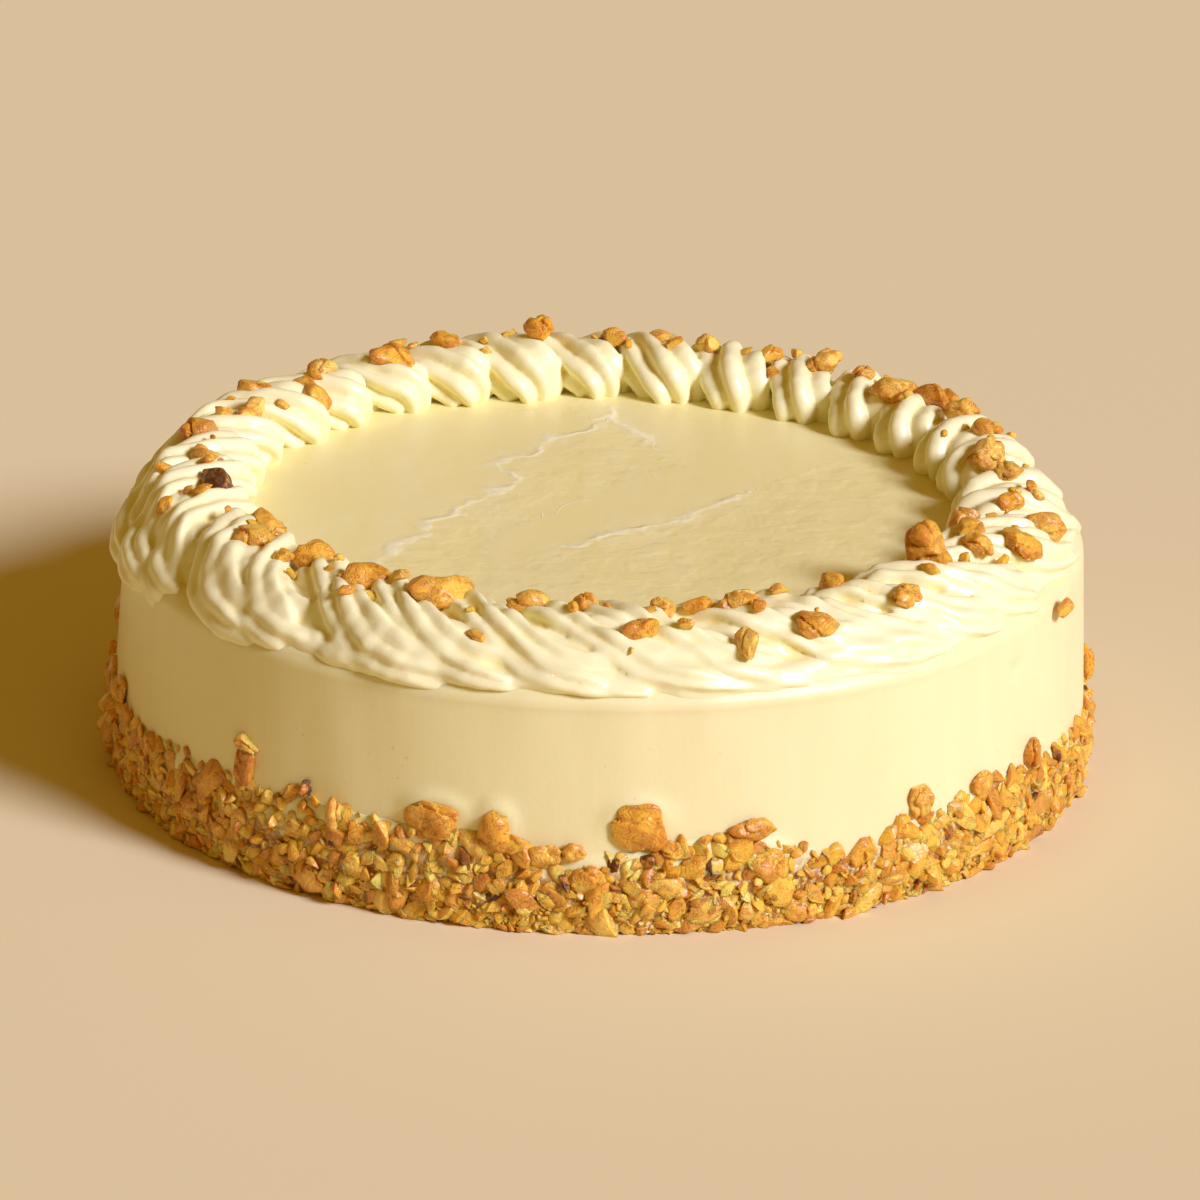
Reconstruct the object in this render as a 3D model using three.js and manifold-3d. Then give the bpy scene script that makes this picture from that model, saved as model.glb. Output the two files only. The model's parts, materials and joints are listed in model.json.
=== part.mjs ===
// A round carrot cake, frosted all over with cream cheese: a smooth tapering side, a flat top,
// a rope of star-tip loops piped round the rim, chopped walnuts pressed into the foot of the side
// and bigger walnut pieces strewn along the rope. Millimetres, +Z up, origin at the middle of the base.
import * as THREE from "three";
import { mergeVertices } from "three/addons/utils/BufferGeometryUtils.js";
import Module from "manifold-3d";

const wasm = await Module();
wasm.setup();

// The frosted cake
const CAKE_HEIGHT = 62;
const SIDE_RADIUS = 123; // where the side is widest, a little above the base
const WIDEST_AT = 12;
const FOOT_TUCK = 1.8; // how far the side draws in from there to the base
const SIDE_TAPER = 2.2; // how far it draws in from there to the shoulder
const SHOULDER = 6; // rounding between side and top
const CAKE_STEPS = 64;
const GAP = 0.4; // clearance left between pieces that touch
const NUT_GAP = 0.5; // room that a walnut piece has in its bed of cream
const SLIVER = 0.2; // facets thinner than this are dropped after a cut

// The piped rope
const ROPE_RADIUS = 103; // circle that its crest follows
const LOOPS = 32;
const LOOP_IN = 8.4; // how far a loop's line swings inwards from the crest
const LOOP_OUT = 12; // and how far outwards, over the shoulder
const LOOP_RISE = 5.2; // how far the line lifts
const LOOP_DRAG = 28; // how far its tail is dragged on round the rim
const DROOP_FROM = 7; // outside this step from the crest the cream sags down the side
const DROOP = 0.42; // how strongly it sags where it has slumped most
const DROOP_ELSEWHERE = 0.15; // and on the rest of the rim
const SLUMP_AT = 190; // where round the rim, in degrees, the rope has slumped most
const SLUMP_OUT = 2.5; // how much further out it hangs there
const SMEAR_AT = 283; // where round the rim, in degrees, the loops were dragged furthest
const SMEAR_DRAG = 0.45; // how much longer their tails are there, as a share
const STRAND = 6.6; // radius of the cream as it leaves the star tip
const STRAND_TAIL = 0.55; // share of that radius left at the end of the tail
const STAR_TEETH = 6;
const STAR_DEPTH = 0.15; // depth of the grooves, as a share of the strand's radius
const LOOP_STEPS = 7;
const CREST_HEIGHT = 13.2; // the rope's height over the top of the cake
const ROPE_HALF_WIDTH = 16;
const ROPE_CORE = [[-12, 0], [12.5, 0], [11, 5], [5, 8.6], [-5, 8.6], [-10.5, 5], [-12, 0]];
const ROPE_CORE_STEPS = 32;

// The chopped walnuts round the foot
// Height of the nuts' uneven upper edge round the cake: [angle in degrees, height]
const BAND_TOP = [
  [0, 23], [14, 25], [28, 21], [44, 24], [60, 26], [76, 21], [94, 24], [112, 22], [128, 26],
  [146, 22], [162, 24], [178, 21], [192, 25], [204, 23], [217, 27], [223, 25], [231, 27],
  [246, 25], [256, 22], [266, 19], [273, 21], [284, 27], [294, 22], [300, 17], [307, 22],
  [320, 25], [339, 23], [352, 21],
];
const LOOSE_EDGE = 2; // how far the chips stand over the bed at that edge
const BED_DEPTH = 1.4; // how thick the bed lies on the side
const BED_BUMP = 0.7;
const BED_ROWS = [0.15, 0.4, 0.65, 0.88]; // where its bumps are, as shares of its height
const BED_STEPS = 60;
const CHIP_ROWS = 4;
const CHIPS_PER_ROW = 24;
const CHIP_LENGTH = 8.6;
const CHIP_STANDS = 1.2; // how far a chip's middle stands off the side

// Walnut pieces big enough to pick off the rope, going round the ring:
// [angle in degrees, step outwards from the crest, length, and for one that stands up
// also its lift out of the cream and its height as a share of its length]
const PICKED = [
  [3, -1, 8.5], [11, -3, 13], [21, 2, 8.5], [30, 4, 9.5], [37, 6, 12],
  [42.5, -2, 12], [49.5, 1, 8], [57, 1, 11.5], [65, -1, 8], [75, 1, 8.5],
  [82, 3, 8], [89, 0, 8.5], [100, 2, 9, 2, 0.8], [114, 2, 9], [124, -3, 14],
  [136, 0, 8.5], [144, -8, 14], [150, 2, 10], [158, -5, 10.5], [169.5, 2, 12],
  [180, -4, 10.5], [190.5, -6, 13.5], [206, -10, 13], [214.5, -1, 11], [223.5, -9, 13.5],
  [235, -5, 12.5], [247, -4, 17], [260, -7, 12], [268.5, -10, 10], [275, 6, 10],
  [278.5, -5, 10], [284, -6, 8], [288, 12, 8.5], [290, -4, 10.5], [297.5, 9, 10.5],
  [307, -9, 10], [312, 7, 9], [325.5, -7, 15.5, 2, 1], [332.5, 1, 8.5], [338, 8.5, 10],
  [338.5, -5, 8.5], [346, -10, 8], [347, 9.5, 10], [350, 0, 8.5],
];
const SUNK = 0.08; // share of a piece's length that its middle lies under the cream's crest
const BIG_PIECE = 13.2; // pieces longer than this have finer facets
const SMALL_PIECES = 24; // smaller walnut bits pressed into the cream
const SIDE_PIECE = { angle: 339.5, height: 57, length: 8, thickness: 4 }; // one that slid down on to the side

// Big chunks at the upper edge of the nut band: [angle in degrees, height, length]
const EDGE_CHUNKS = [
  [227, 29, 11], [240, 21, 11], [252, 27, 13], [259, 26, 10], [275, 27, 13], [288, 26, 11],
  [290, 16, 10], [307, 20, 8], [310, 26, 8], [320, 24, 8], [331, 25, 9], [357, 31, 10],
  [12, 26, 10], [38, 24, 11], [66, 27, 12], [92, 25, 9], [121, 28, 12], [149, 24, 10],
  [173, 28, 11], [196, 25, 10],
];

const rad = THREE.MathUtils.degToRad;

// A repeatable random number from 0 to 1 for each whole number
function draw(n) {
  const v = Math.sin(n * 12.9898 + 4.1414) * 43758.5453;
  return v - Math.floor(v);
}
const between = (n, low, high) => low + (high - low) * draw(n);

// Joins and cuts
function solid(geometry) {
  const bare = new THREE.BufferGeometry();
  const flat = geometry.index ? geometry.toNonIndexed() : geometry;
  bare.setAttribute("position", flat.getAttribute("position"));
  const merged = mergeVertices(bare, 1e-3);
  return new wasm.Manifold(
    new wasm.Mesh({
      numProp: 3,
      vertProperties: new Float32Array(merged.attributes.position.array),
      triVerts: new Uint32Array(merged.index.array),
    }),
  );
}

function geometryOf(made) {
  const mesh = made.getMesh();
  const geometry = new THREE.BufferGeometry();
  geometry.setAttribute("position", new THREE.BufferAttribute(mesh.vertProperties, 3));
  geometry.setIndex(new THREE.BufferAttribute(mesh.triVerts, 1));
  const flat = geometry.toNonIndexed();
  flat.computeVertexNormals();
  return flat;
}

function joined(list) {
  return list.reduce((sum, next) => sum.add(next));
}

// The biggest body of a cut solid, without loose scraps and slivers
function mainBody(made) {
  const bodies = made.asOriginal().simplify(SLIVER).decompose();
  return bodies.sort((a, b) => b.volume() - a.volume())[0];
}

// The hand-spread outline is a little out of round
function outline(angle) {
  return 0.45 * Math.sin(2 * angle + 0.6) + 0.3 * Math.sin(3 * angle + 2) + 0.2 * Math.sin(5 * angle + 1);
}

function sideRadius(z) {
  if (z < WIDEST_AT) {
    const down = (WIDEST_AT - z) / WIDEST_AT;
    return SIDE_RADIUS - FOOT_TUCK * down * down;
  }
  const up = (z - WIDEST_AT) / (CAKE_HEIGHT - SHOULDER - WIDEST_AT);
  return SIDE_RADIUS - SIDE_TAPER * up;
}

// Cake body, or the same grown by a clearance so that it can cut its neighbours
function cakeGeometry(grow) {
  const profile = [new THREE.Vector2(0, -grow)];
  for (const z of [0, 5, WIDEST_AT, 34, CAKE_HEIGHT - SHOULDER]) {
    profile.push(new THREE.Vector2(sideRadius(z) + grow, z === 0 ? -grow : z));
  }
  const rimRadius = sideRadius(CAKE_HEIGHT - SHOULDER) - SHOULDER;
  for (const turn of [30, 60, 90]) {
    const reach = SHOULDER + grow;
    profile.push(
      new THREE.Vector2(
        rimRadius + reach * Math.cos(rad(turn)),
        CAKE_HEIGHT - SHOULDER + reach * Math.sin(rad(turn)),
      ),
    );
  }
  profile.push(new THREE.Vector2(0, CAKE_HEIGHT + grow));
  const geometry = new THREE.LatheGeometry(profile, CAKE_STEPS);
  geometry.rotateX(Math.PI / 2);
  const place = geometry.attributes.position;
  for (let i = 0; i < place.count; i++) {
    const x = place.getX(i);
    const y = place.getY(i);
    const r = Math.hypot(x, y);
    const scale = r > 1 ? 1 + outline(Math.atan2(y, x)) / SIDE_RADIUS : 1;
    place.setXY(i, x * scale, y * scale);
  }
  return geometry;
}

// A closed skin over rings of points, each ring shrinking to its own middle at the two ends
function skin(rings) {
  const sides = rings[0].length;
  const corners = rings.flat();
  const faces = [];
  for (let i = 0; i + 1 < rings.length; i++) {
    for (let j = 0; j < sides; j++) {
      const a = i * sides + j;
      const b = i * sides + ((j + 1) % sides);
      faces.push(a, b, a + sides, b, b + sides, a + sides);
    }
  }
  for (const [ring, out] of [[0, false], [rings.length - 1, true]]) {
    const middle = new THREE.Vector3();
    rings[ring].forEach((p) => middle.addScaledVector(p, 1 / sides));
    const tip = corners.push(middle) - 1;
    for (let j = 0; j < sides; j++) {
      const a = ring * sides + j;
      const b = ring * sides + ((j + 1) % sides);
      faces.push(...(out ? [a, b, tip] : [b, a, tip]));
    }
  }
  const geometry = new THREE.BufferGeometry().setFromPoints(corners);
  geometry.setIndex(faces);
  return geometry;
}

// From 0 to 1: how far the rope has slumped over the rim at an angle round it
function slump(angle) {
  return Math.max(0, Math.cos(angle - rad(SLUMP_AT))) ** 4;
}

// From 0 to 1: how far the loops at an angle round the rim were dragged sideways
function smear(angle) {
  return Math.max(0, Math.cos(angle - rad(SMEAR_AT))) ** 2;
}

// One loop of the rope: a star strand that climbs from the inner foot over the crest
// and trails off along the outer foot. x runs outwards, y on round the rim, z up.
function loopGeometry(index, slumped, smeared) {
  const swing = between(index + 40, 0.95, 1.06);
  const drag = LOOP_DRAG * (1 + SMEAR_DRAG * smeared) * between(index + 80, 0.85, 1.15);
  const fat = STRAND * between(index + 120, 0.94, 1.06);
  const outermost = LOOP_OUT + SLUMP_OUT * slumped;
  const line = (s) => {
    const x = -Math.cos(Math.PI * s) * swing * (s < 0.5 ? LOOP_IN : outermost);
    const strength = THREE.MathUtils.lerp(DROOP_ELSEWHERE, DROOP, slumped);
    const sag = strength * Math.max(0, x - DROOP_FROM) ** 1.5;
    return new THREE.Vector3(x, drag * s ** 1.6, 1 + LOOP_RISE * Math.sin(Math.PI * s) ** 0.8 - sag);
  };
  const rings = [];
  for (let i = 0; i <= LOOP_STEPS; i++) {
    const s = i / LOOP_STEPS;
    const here = line(s);
    const along = line(Math.min(1, s + 0.01)).sub(line(Math.max(0, s - 0.01))).normalize();
    const outwards = new THREE.Vector3(here.x, 0, here.z + 4 + DROOP_FROM * slumped);
    outwards.addScaledVector(along, -outwards.dot(along)).normalize();
    const across = new THREE.Vector3().crossVectors(along, outwards);
    const size = fat * (s < 0.5 ? 0.92 + 0.16 * s : THREE.MathUtils.lerp(1, STRAND_TAIL, 2 * s - 1));
    const ring = [];
    for (let j = 0; j < 2 * STAR_TEETH; j++) {
      const turn = (Math.PI * j) / STAR_TEETH;
      const r = size * (j % 2 ? 1 - STAR_DEPTH : 1 + STAR_DEPTH);
      ring.push(
        here.clone().addScaledVector(outwards, r * Math.cos(turn)).addScaledVector(across, r * Math.sin(turn)),
      );
    }
    rings.push(ring);
  }
  return skin(rings);
}

// The cream between the loops: a low ring with the section [step from the crest, height]
function ropeCore() {
  const profile = ROPE_CORE.map(([x, z]) => new THREE.Vector2(ROPE_RADIUS + x, CAKE_HEIGHT + z));
  const geometry = new THREE.LatheGeometry(profile, ROPE_CORE_STEPS);
  geometry.rotateX(Math.PI / 2);
  return geometry;
}

// Height of the rope over the cake at a step in or out from its crest
function ropeHeight(step) {
  return CREST_HEIGHT * Math.sqrt(Math.max(0.05, 1 - (step / ROPE_HALF_WIDTH) ** 2));
}

// A chopped walnut piece: a lumpy ball cut by a few flat knife faces, as long as it is told
function nutGeometry(seed, length, detail, thickness) {
  const geometry = new THREE.IcosahedronGeometry(0.5, detail);
  const place = geometry.attributes.position;
  const cuts = [0, 1, 2].map((k) => ({
    normal: new THREE.Vector3(
      between(seed + 10 * k + 1, -1, 1),
      between(seed + 10 * k + 2, -1, 1),
      between(seed + 10 * k + 3, -0.6, 1),
    ).normalize(),
    depth: between(seed + 10 * k + 4, 0.3, 0.42),
  }));
  const p = new THREE.Vector3();
  for (let i = 0; i < place.count; i++) {
    p.fromBufferAttribute(place, i);
    p.multiplyScalar(1 + 0.2 * Math.sin(6 * p.x + seed) + 0.16 * Math.sin(7 * p.y + 2 * seed));
    for (const { normal, depth } of cuts) {
      const over = p.dot(normal) - depth;
      if (over > 0) p.addScaledVector(normal, -over);
    }
    place.setXYZ(i, p.x, p.y, p.z);
  }
  return toSize(geometry, length, length * between(seed + 50, 0.66, 0.88), length * thickness);
}

// A chip of the nut band: a box with its corners pushed about
function chipGeometry(seed, length, thickness) {
  const geometry = new THREE.BoxGeometry(1, 1, 1);
  const place = geometry.attributes.position;
  for (let i = 0; i < place.count; i++) {
    const [x, y, z] = [place.getX(i), place.getY(i), place.getZ(i)];
    const corner = seed + (x > 0 ? 1 : 0) + (y > 0 ? 2 : 0) + (z > 0 ? 4 : 0);
    place.setXYZ(
      i,
      x * between(corner + 10, 0.55, 1),
      y * between(corner + 20, 0.55, 1),
      z * between(corner + 30, 0.7, 1),
    );
  }
  return toSize(geometry, length, length * between(seed + 50, 0.55, 0.85), thickness);
}

function toSize(geometry, x, y, z) {
  geometry.computeBoundingBox();
  const size = geometry.boundingBox.getSize(new THREE.Vector3());
  return geometry.center().scale(x / size.x, y / size.y, z / size.z);
}

// Puts a piece on the ring: lying on a slope, turned at random, its middle at the given point
function placed(geometry, seed, angle, radius, height, lean) {
  const matrix = new THREE.Matrix4().makeRotationZ(angle);
  matrix.multiply(new THREE.Matrix4().makeTranslation(radius, 0, height));
  matrix.multiply(new THREE.Matrix4().makeRotationY(lean));
  matrix.multiply(new THREE.Matrix4().makeRotationZ(between(seed + 60, 0, 2 * Math.PI)));
  return geometry.clone().applyMatrix4(matrix);
}

function pickedPiece(index, grow) {
  const [degrees, step, length, lift = 0, thickness = 0.62] = PICKED[index];
  const seed = 200 + 7 * index;
  const geometry = nutGeometry(seed, length, length > BIG_PIECE ? 1 : 0, thickness);
  geometry.scale(1 + (2 * grow) / length, 1 + (2.6 * grow) / length, 1 + (3.4 * grow) / length);
  const lean = Math.asin(step / (ROPE_HALF_WIDTH + 4)) + between(seed + 70, -0.25, 0.25);
  const height = CAKE_HEIGHT + ropeHeight(step) - SUNK * length + lift;
  return placed(geometry, seed, rad(degrees), ROPE_RADIUS + step, height, lean);
}

function sidePiece() {
  const { angle, height, length, thickness } = SIDE_PIECE;
  const reach = sideRadius(height) + outline(rad(angle)) + thickness / 2;
  return placed(nutGeometry(190, length, 1, thickness / length), 190, rad(angle), reach, height, Math.PI / 2);
}

// Small bits lie where no picked piece is near
function smallPieces() {
  const made = [];
  for (let k = 0; k < SMALL_PIECES; k++) {
    const degrees = (360 / SMALL_PIECES) * (k + between(k + 900, -0.35, 0.35));
    const step = between(k + 940, -9, 10);
    const length = between(k + 980, 4.5, 6.5);
    const crowded = PICKED.some(([other, otherStep, otherLength]) => {
      const apart = THREE.MathUtils.euclideanModulo(degrees - other + 180, 360) - 180;
      return Math.hypot(rad(apart) * ROPE_RADIUS, step - otherStep) < (length + otherLength) / 2 + 1.2;
    });
    if (crowded) continue;
    const seed = 1100 + 9 * k;
    const height = CAKE_HEIGHT + ropeHeight(step) + 0.1 * length;
    made.push(
      solid(placed(nutGeometry(seed, length, 0, 0.6), seed, rad(degrees), ROPE_RADIUS + step, height, step / 20)),
    );
  }
  return made;
}

// The nut band: a thin close-packed bed with an uneven upper edge, and chips fused on to it
function bedTop(angle) {
  const degrees = THREE.MathUtils.euclideanModulo(THREE.MathUtils.radToDeg(angle), 360);
  const after = BAND_TOP.findIndex(([at]) => at > degrees);
  const [from, low] = BAND_TOP.at(after - 1);
  const [to, high] = after < 0 ? [360, BAND_TOP[0][1]] : BAND_TOP[after];
  return THREE.MathUtils.lerp(low, high, THREE.MathUtils.smoothstep(degrees, from, to)) - LOOSE_EDGE;
}

function bedGeometry() {
  const rings = [];
  for (let i = 0; i < BED_STEPS; i++) {
    const angle = (2 * Math.PI * i) / BED_STEPS;
    const top = bedTop(angle);
    const section = [[-1, -1], [-1, BED_DEPTH]];
    for (const [row, share] of BED_ROWS.entries()) {
      section.push([top * share, BED_DEPTH + BED_BUMP * between(6000 + 4 * i + row, -1, 1)]);
    }
    section.push([top, 0.6], [top, -1]);
    rings.push(
      section.map(([z, depth]) => {
        const r = sideRadius(Math.max(0, z)) + outline(angle) + depth;
        return new THREE.Vector3(r * Math.cos(angle), r * Math.sin(angle), z);
      }),
    );
  }
  return ringSkin(rings);
}

// A closed skin over rings of points that follow each other round to the first
function ringSkin(rings) {
  const sides = rings[0].length;
  const faces = [];
  for (let i = 0; i < rings.length; i++) {
    const next = (i + 1) % rings.length;
    for (let j = 0; j < sides; j++) {
      const k = (j + 1) % sides;
      const [a, b, c, d] = [i * sides + j, i * sides + k, next * sides + j, next * sides + k];
      faces.push(a, c, b, b, c, d);
    }
  }
  const geometry = new THREE.BufferGeometry().setFromPoints(rings.flat());
  geometry.setIndex(faces);
  return geometry;
}

function bandChip(seed, angle, z, length) {
  const r = sideRadius(z) + outline(angle) + CHIP_STANDS;
  const geometry = chipGeometry(seed, length, between(seed + 40, 3.2, 4.6));
  const lean = Math.PI / 2 + between(seed + 45, -0.2, 0.2);
  return solid(placed(geometry, seed, angle, r, z, lean));
}

function nutBand(cutCake) {
  const pieces = [solid(bedGeometry())];
  for (let row = 0; row < CHIP_ROWS; row++) {
    for (let k = 0; k < CHIPS_PER_ROW; k++) {
      const seed = 2003 + 11 * (row * CHIPS_PER_ROW + k);
      const angle = (2 * Math.PI * (k + 0.5 * (row % 2) + between(seed, -0.25, 0.25))) / CHIPS_PER_ROW;
      const z = bedTop(angle) * (0.14 + 0.29 * row) + between(seed + 1, -1.2, 1.2);
      pieces.push(bandChip(seed, angle, z, CHIP_LENGTH * between(seed + 2, 0.75, 1.15)));
    }
  }
  EDGE_CHUNKS.forEach(([degrees, z, length], k) => {
    pieces.push(bandChip(3700 + 13 * k, rad(degrees), z - 2, length));
  });
  const ground = new THREE.BoxGeometry(400, 400, 20).translate(0, 0, -10);
  return mainBody(joined(pieces).subtract(cutCake).subtract(solid(ground)));
}

function pipedRope(cutCake) {
  const loops = [];
  for (let k = 0; k < LOOPS; k++) {
    const turn = (2 * Math.PI * (k + between(k + 1, -0.08, 0.08))) / LOOPS;
    const geometry = loopGeometry(k, slump(turn), smear(turn));
    geometry.applyMatrix4(new THREE.Matrix4().makeScale(1, 1, between(k + 160, 0.95, 1.07)));
    const place = geometry.attributes.position;
    for (let i = 0; i < place.count; i++) {
      // the loop is bent round the rim, so its y becomes an angle
      const r = ROPE_RADIUS + place.getX(i);
      const angle = turn + place.getY(i) / ROPE_RADIUS;
      place.setXYZ(i, r * Math.cos(angle), r * Math.sin(angle), CAKE_HEIGHT + place.getZ(i));
    }
    loops.push(solid(geometry));
  }
  const pockets = PICKED.map((_, k) => solid(pickedPiece(k, NUT_GAP)));
  const rope = joined([solid(ropeCore()), ...loops]).subtract(joined(pockets));
  return mainBody(joined([rope, ...smallPieces()]).subtract(cutCake));
}

// Finishes
const cream = new THREE.MeshStandardMaterial({ color: 0xf6edc4, roughness: 0.42, metalness: 0 });
const pipedCream = new THREE.MeshStandardMaterial({ color: 0xfaf3d6, roughness: 0.38, metalness: 0 });
const choppedNut = new THREE.MeshStandardMaterial({ color: 0xcf9a55, roughness: 0.55, metalness: 0 });
const nutPiece = new THREE.MeshStandardMaterial({ color: 0xd69c58, roughness: 0.5, metalness: 0 });

function named(name, geometry, material) {
  const mesh = new THREE.Mesh(geometry, material);
  mesh.name = name;
  return mesh;
}

const cutCake = solid(cakeGeometry(GAP));
const cake = new THREE.Group();
cake.add(named("frosted_cake", cakeGeometry(0), cream));
cake.add(named("piped_rope", geometryOf(pipedRope(cutCake)), pipedCream));
cake.add(named("walnut_band", geometryOf(nutBand(cutCake)), choppedNut));
PICKED.forEach((_, k) => {
  const name = "walnut_" + String(k + 1).padStart(2, "0");
  cake.add(named(name, pickedPiece(k, 0), nutPiece));
});
cake.add(named("walnut_on_side", sidePiece(), nutPiece));

export default cake;
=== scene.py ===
"""A whole round carrot cake: smooth cream cheese frosting, a piped rope of cream and walnuts.

The file is laid out as an add-on. Each operator makes one piece, or one group of like pieces,
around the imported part, which is loaded first and stays where it is. Run as a script it makes
all of them. The model is in metres, and lengths are written in millimetres times MM.
"""

import json
import math
from typing import NamedTuple

import bmesh
import bpy
import numpy as np
from mathutils import Matrix, Vector
from mathutils.bvhtree import BVHTree

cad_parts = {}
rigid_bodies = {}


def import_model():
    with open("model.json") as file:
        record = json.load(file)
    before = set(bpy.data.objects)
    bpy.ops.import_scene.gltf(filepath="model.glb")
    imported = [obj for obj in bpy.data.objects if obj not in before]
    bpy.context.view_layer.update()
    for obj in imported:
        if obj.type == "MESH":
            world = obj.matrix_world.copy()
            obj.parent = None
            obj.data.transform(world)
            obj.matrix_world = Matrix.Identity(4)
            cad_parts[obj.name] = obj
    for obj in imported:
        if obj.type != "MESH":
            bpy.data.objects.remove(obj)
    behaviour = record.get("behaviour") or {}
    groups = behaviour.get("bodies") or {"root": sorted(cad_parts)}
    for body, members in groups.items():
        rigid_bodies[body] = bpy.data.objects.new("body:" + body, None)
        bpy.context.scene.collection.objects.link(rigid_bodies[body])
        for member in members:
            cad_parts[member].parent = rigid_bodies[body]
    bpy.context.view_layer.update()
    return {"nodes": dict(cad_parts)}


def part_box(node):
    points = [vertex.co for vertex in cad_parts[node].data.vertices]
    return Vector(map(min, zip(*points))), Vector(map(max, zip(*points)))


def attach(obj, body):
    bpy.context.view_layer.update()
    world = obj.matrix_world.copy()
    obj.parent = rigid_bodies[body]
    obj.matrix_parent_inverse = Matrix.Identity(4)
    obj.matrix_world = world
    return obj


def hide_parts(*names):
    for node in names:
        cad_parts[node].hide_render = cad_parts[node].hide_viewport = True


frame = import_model()

bl_info = {
    "name": "Carrot Cake",
    "version": (1, 0, 0),
    "blender": (4, 5, 0),
    "location": "3D View > Sidebar > Cake",
    "description": "Makes a frosted carrot cake with a piped rope of cream and walnuts",
    "category": "Add Mesh",
}

MM = 0.001
BODY = "root"
CAKE_LOW, CAKE_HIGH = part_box("frosted_cake")
CAKE_TOP = CAKE_HIGH.z
WALNUT_NODES = sorted({name for name in frame["nodes"] if name.startswith("walnut_")} - {"walnut_band"})

# The frosted body, the same form as the solid's
SIDE_RADIUS = 123 * MM
WIDEST_AT = 12 * MM
FOOT_TUCK = 1.8 * MM
SIDE_TAPER = 2.2 * MM
SHOULDER = 6 * MM
SHOULDER_FROM = CAKE_TOP - SHOULDER

# The rope's line, the same as the solid's
ROPE_RADIUS = 103 * MM
LOOP_IN = 8.4 * MM
LOOP_OUT = 12 * MM
DROOP_FROM = 7 * MM
SLUMP_OUT = 2.5 * MM

# Angles round the cake, from the right and on past the back, of what the hand did to the rope
SLUMP_AT = math.radians(190)
SEAM_AT = math.radians(216.5)
TORN_AT = math.radians(237 - 360)
SPREAD_AT = math.radians(260)
SMEAR_AT = math.radians(283)


# Settings that a user would change


def colour(label, about, red, green, blue):
    shade = (red, green, blue, 1.0)
    return bpy.props.FloatVectorProperty(
        name=label, description=about, default=shade, size=4, subtype="COLOR", min=0, max=1
    )


def length(label, about, value):
    return bpy.props.FloatProperty(
        name=label, description=about, default=value, unit="LENGTH", precision=5
    )


def number(label, about, value):
    return bpy.props.IntProperty(name=label, description=about, default=value, min=1)


def share(label, about, value):
    return bpy.props.FloatProperty(name=label, description=about, default=value, min=0, max=1)


class FrostingSettings(bpy.types.PropertyGroup):
    side: colour("Side", "Frosting on the side", 0.85, 0.768, 0.37)
    top: colour("Top", "Frosting on the flat top", 0.91, 0.81, 0.34)
    # Pale frosting: the paler tone of streaks and strokes, and along the knife lines both the scraped
    # cream's own paleness and a painted highlight
    pale: colour("Scrape", "Frosting where the knife scraped it", 0.99, 0.95, 0.58)
    wobble: length("Wobble", "How far the spread surface strays", 0.35 * MM)


class RopeSettings(bpy.types.PropertyGroup):
    cream: colour("Cream", "Piped cream on its ridges", 0.93, 0.87, 0.46)
    # Painted shade: the darker, yellower colour painted on the cream deep in the rope's grooves
    crease: colour("Crease", "Piped cream deep in its grooves", 0.90, 0.72, 0.13)
    loops: number("Loops", "Loops round the rim", 32)
    strand: length("Strand", "Radius of the cream at the star tip", 6.6 * MM)
    drag: length("Drag", "How far a loop's tail is dragged round the rim", 26 * MM)
    rise: length("Rise", "How far a loop's line lifts", 5.2 * MM)
    groove: share("Groove", "Depth of the grooves as a share of the strand", 0.33)
    voxel: length("Voxel", "Grain of the mesh that joins the loops", 0.5 * MM)


class WalnutSettings(bpy.types.PropertyGroup):
    flesh: colour("Flesh", "Walnut where the knife cut it", 0.89, 0.47, 0.035)
    pale: colour("Pale flesh", "Walnut that is fresh and pale", 0.97, 0.69, 0.13)
    amber: colour("Amber", "Thin edges that the light shines through", 0.64, 0.25, 0.02)
    skin: colour("Skin", "Walnut skin", 0.60, 0.23, 0.03)
    vein: colour("Vein", "Dark lines and edges of the skin", 0.13, 0.045, 0.010)


class BandSettings(bpy.types.PropertyGroup):
    big: number("Big chips", "Chips 7 to 11 mm long round the foot", 300)
    medium: number("Medium chips", "Chips 3 to 7 mm long round the foot", 2600)
    crumbs: number("Crumbs", "Crumbs of 1 to 3 mm round the foot", 6000)
    seed: number("Seed", "Seed of the scatter", 7)


class StageSettings(bpy.types.PropertyGroup):
    floor: colour("Floor", "Plain floor and backdrop", 0.82, 0.70, 0.385)
    key: colour("Key", "Colour of the key light", 0.70, 0.713, 1.0)
    room: colour("Room", "Light that the warm room sends back", 0.28, 0.16, 0.02)
    strength: bpy.props.FloatProperty(
        name="Strength", description="Strength of the key light", default=4.8
    )


class CakeSettings(bpy.types.PropertyGroup):
    frosting: bpy.props.PointerProperty(type=FrostingSettings)
    rope: bpy.props.PointerProperty(type=RopeSettings)
    walnut: bpy.props.PointerProperty(type=WalnutSettings)
    band: bpy.props.PointerProperty(type=BandSettings)
    stage: bpy.props.PointerProperty(type=StageSettings)


# Shader maths


class Value:
    """An output of a node, so that shader maths can be written as Python expressions."""

    def __init__(self, finish, socket):
        self.finish = finish
        self.socket = socket

    def maths(self, operation, *values, clamp=False):
        settings = {"operation": operation, "use_clamp": clamp}
        return self.finish.node("ShaderNodeMath", settings, dict(enumerate(values)))

    def __add__(self, other):
        return self.maths("ADD", self, other)

    def __sub__(self, other):
        return self.maths("SUBTRACT", self, other)

    def __rsub__(self, other):
        return self.maths("SUBTRACT", other, self)

    def __mul__(self, other):
        return self.maths("MULTIPLY", self, other)

    def __abs__(self):
        return self.maths("ABSOLUTE", self)

    def at_most(self, other):
        return self.maths("MINIMUM", self, other)

    def between(self, low, high):
        """0 below low and 1 above high, or the other way round when low is the higher."""
        return self.maths("DIVIDE", self - low, high - low, clamp=True)

    __radd__ = __add__
    __rmul__ = __mul__


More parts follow.
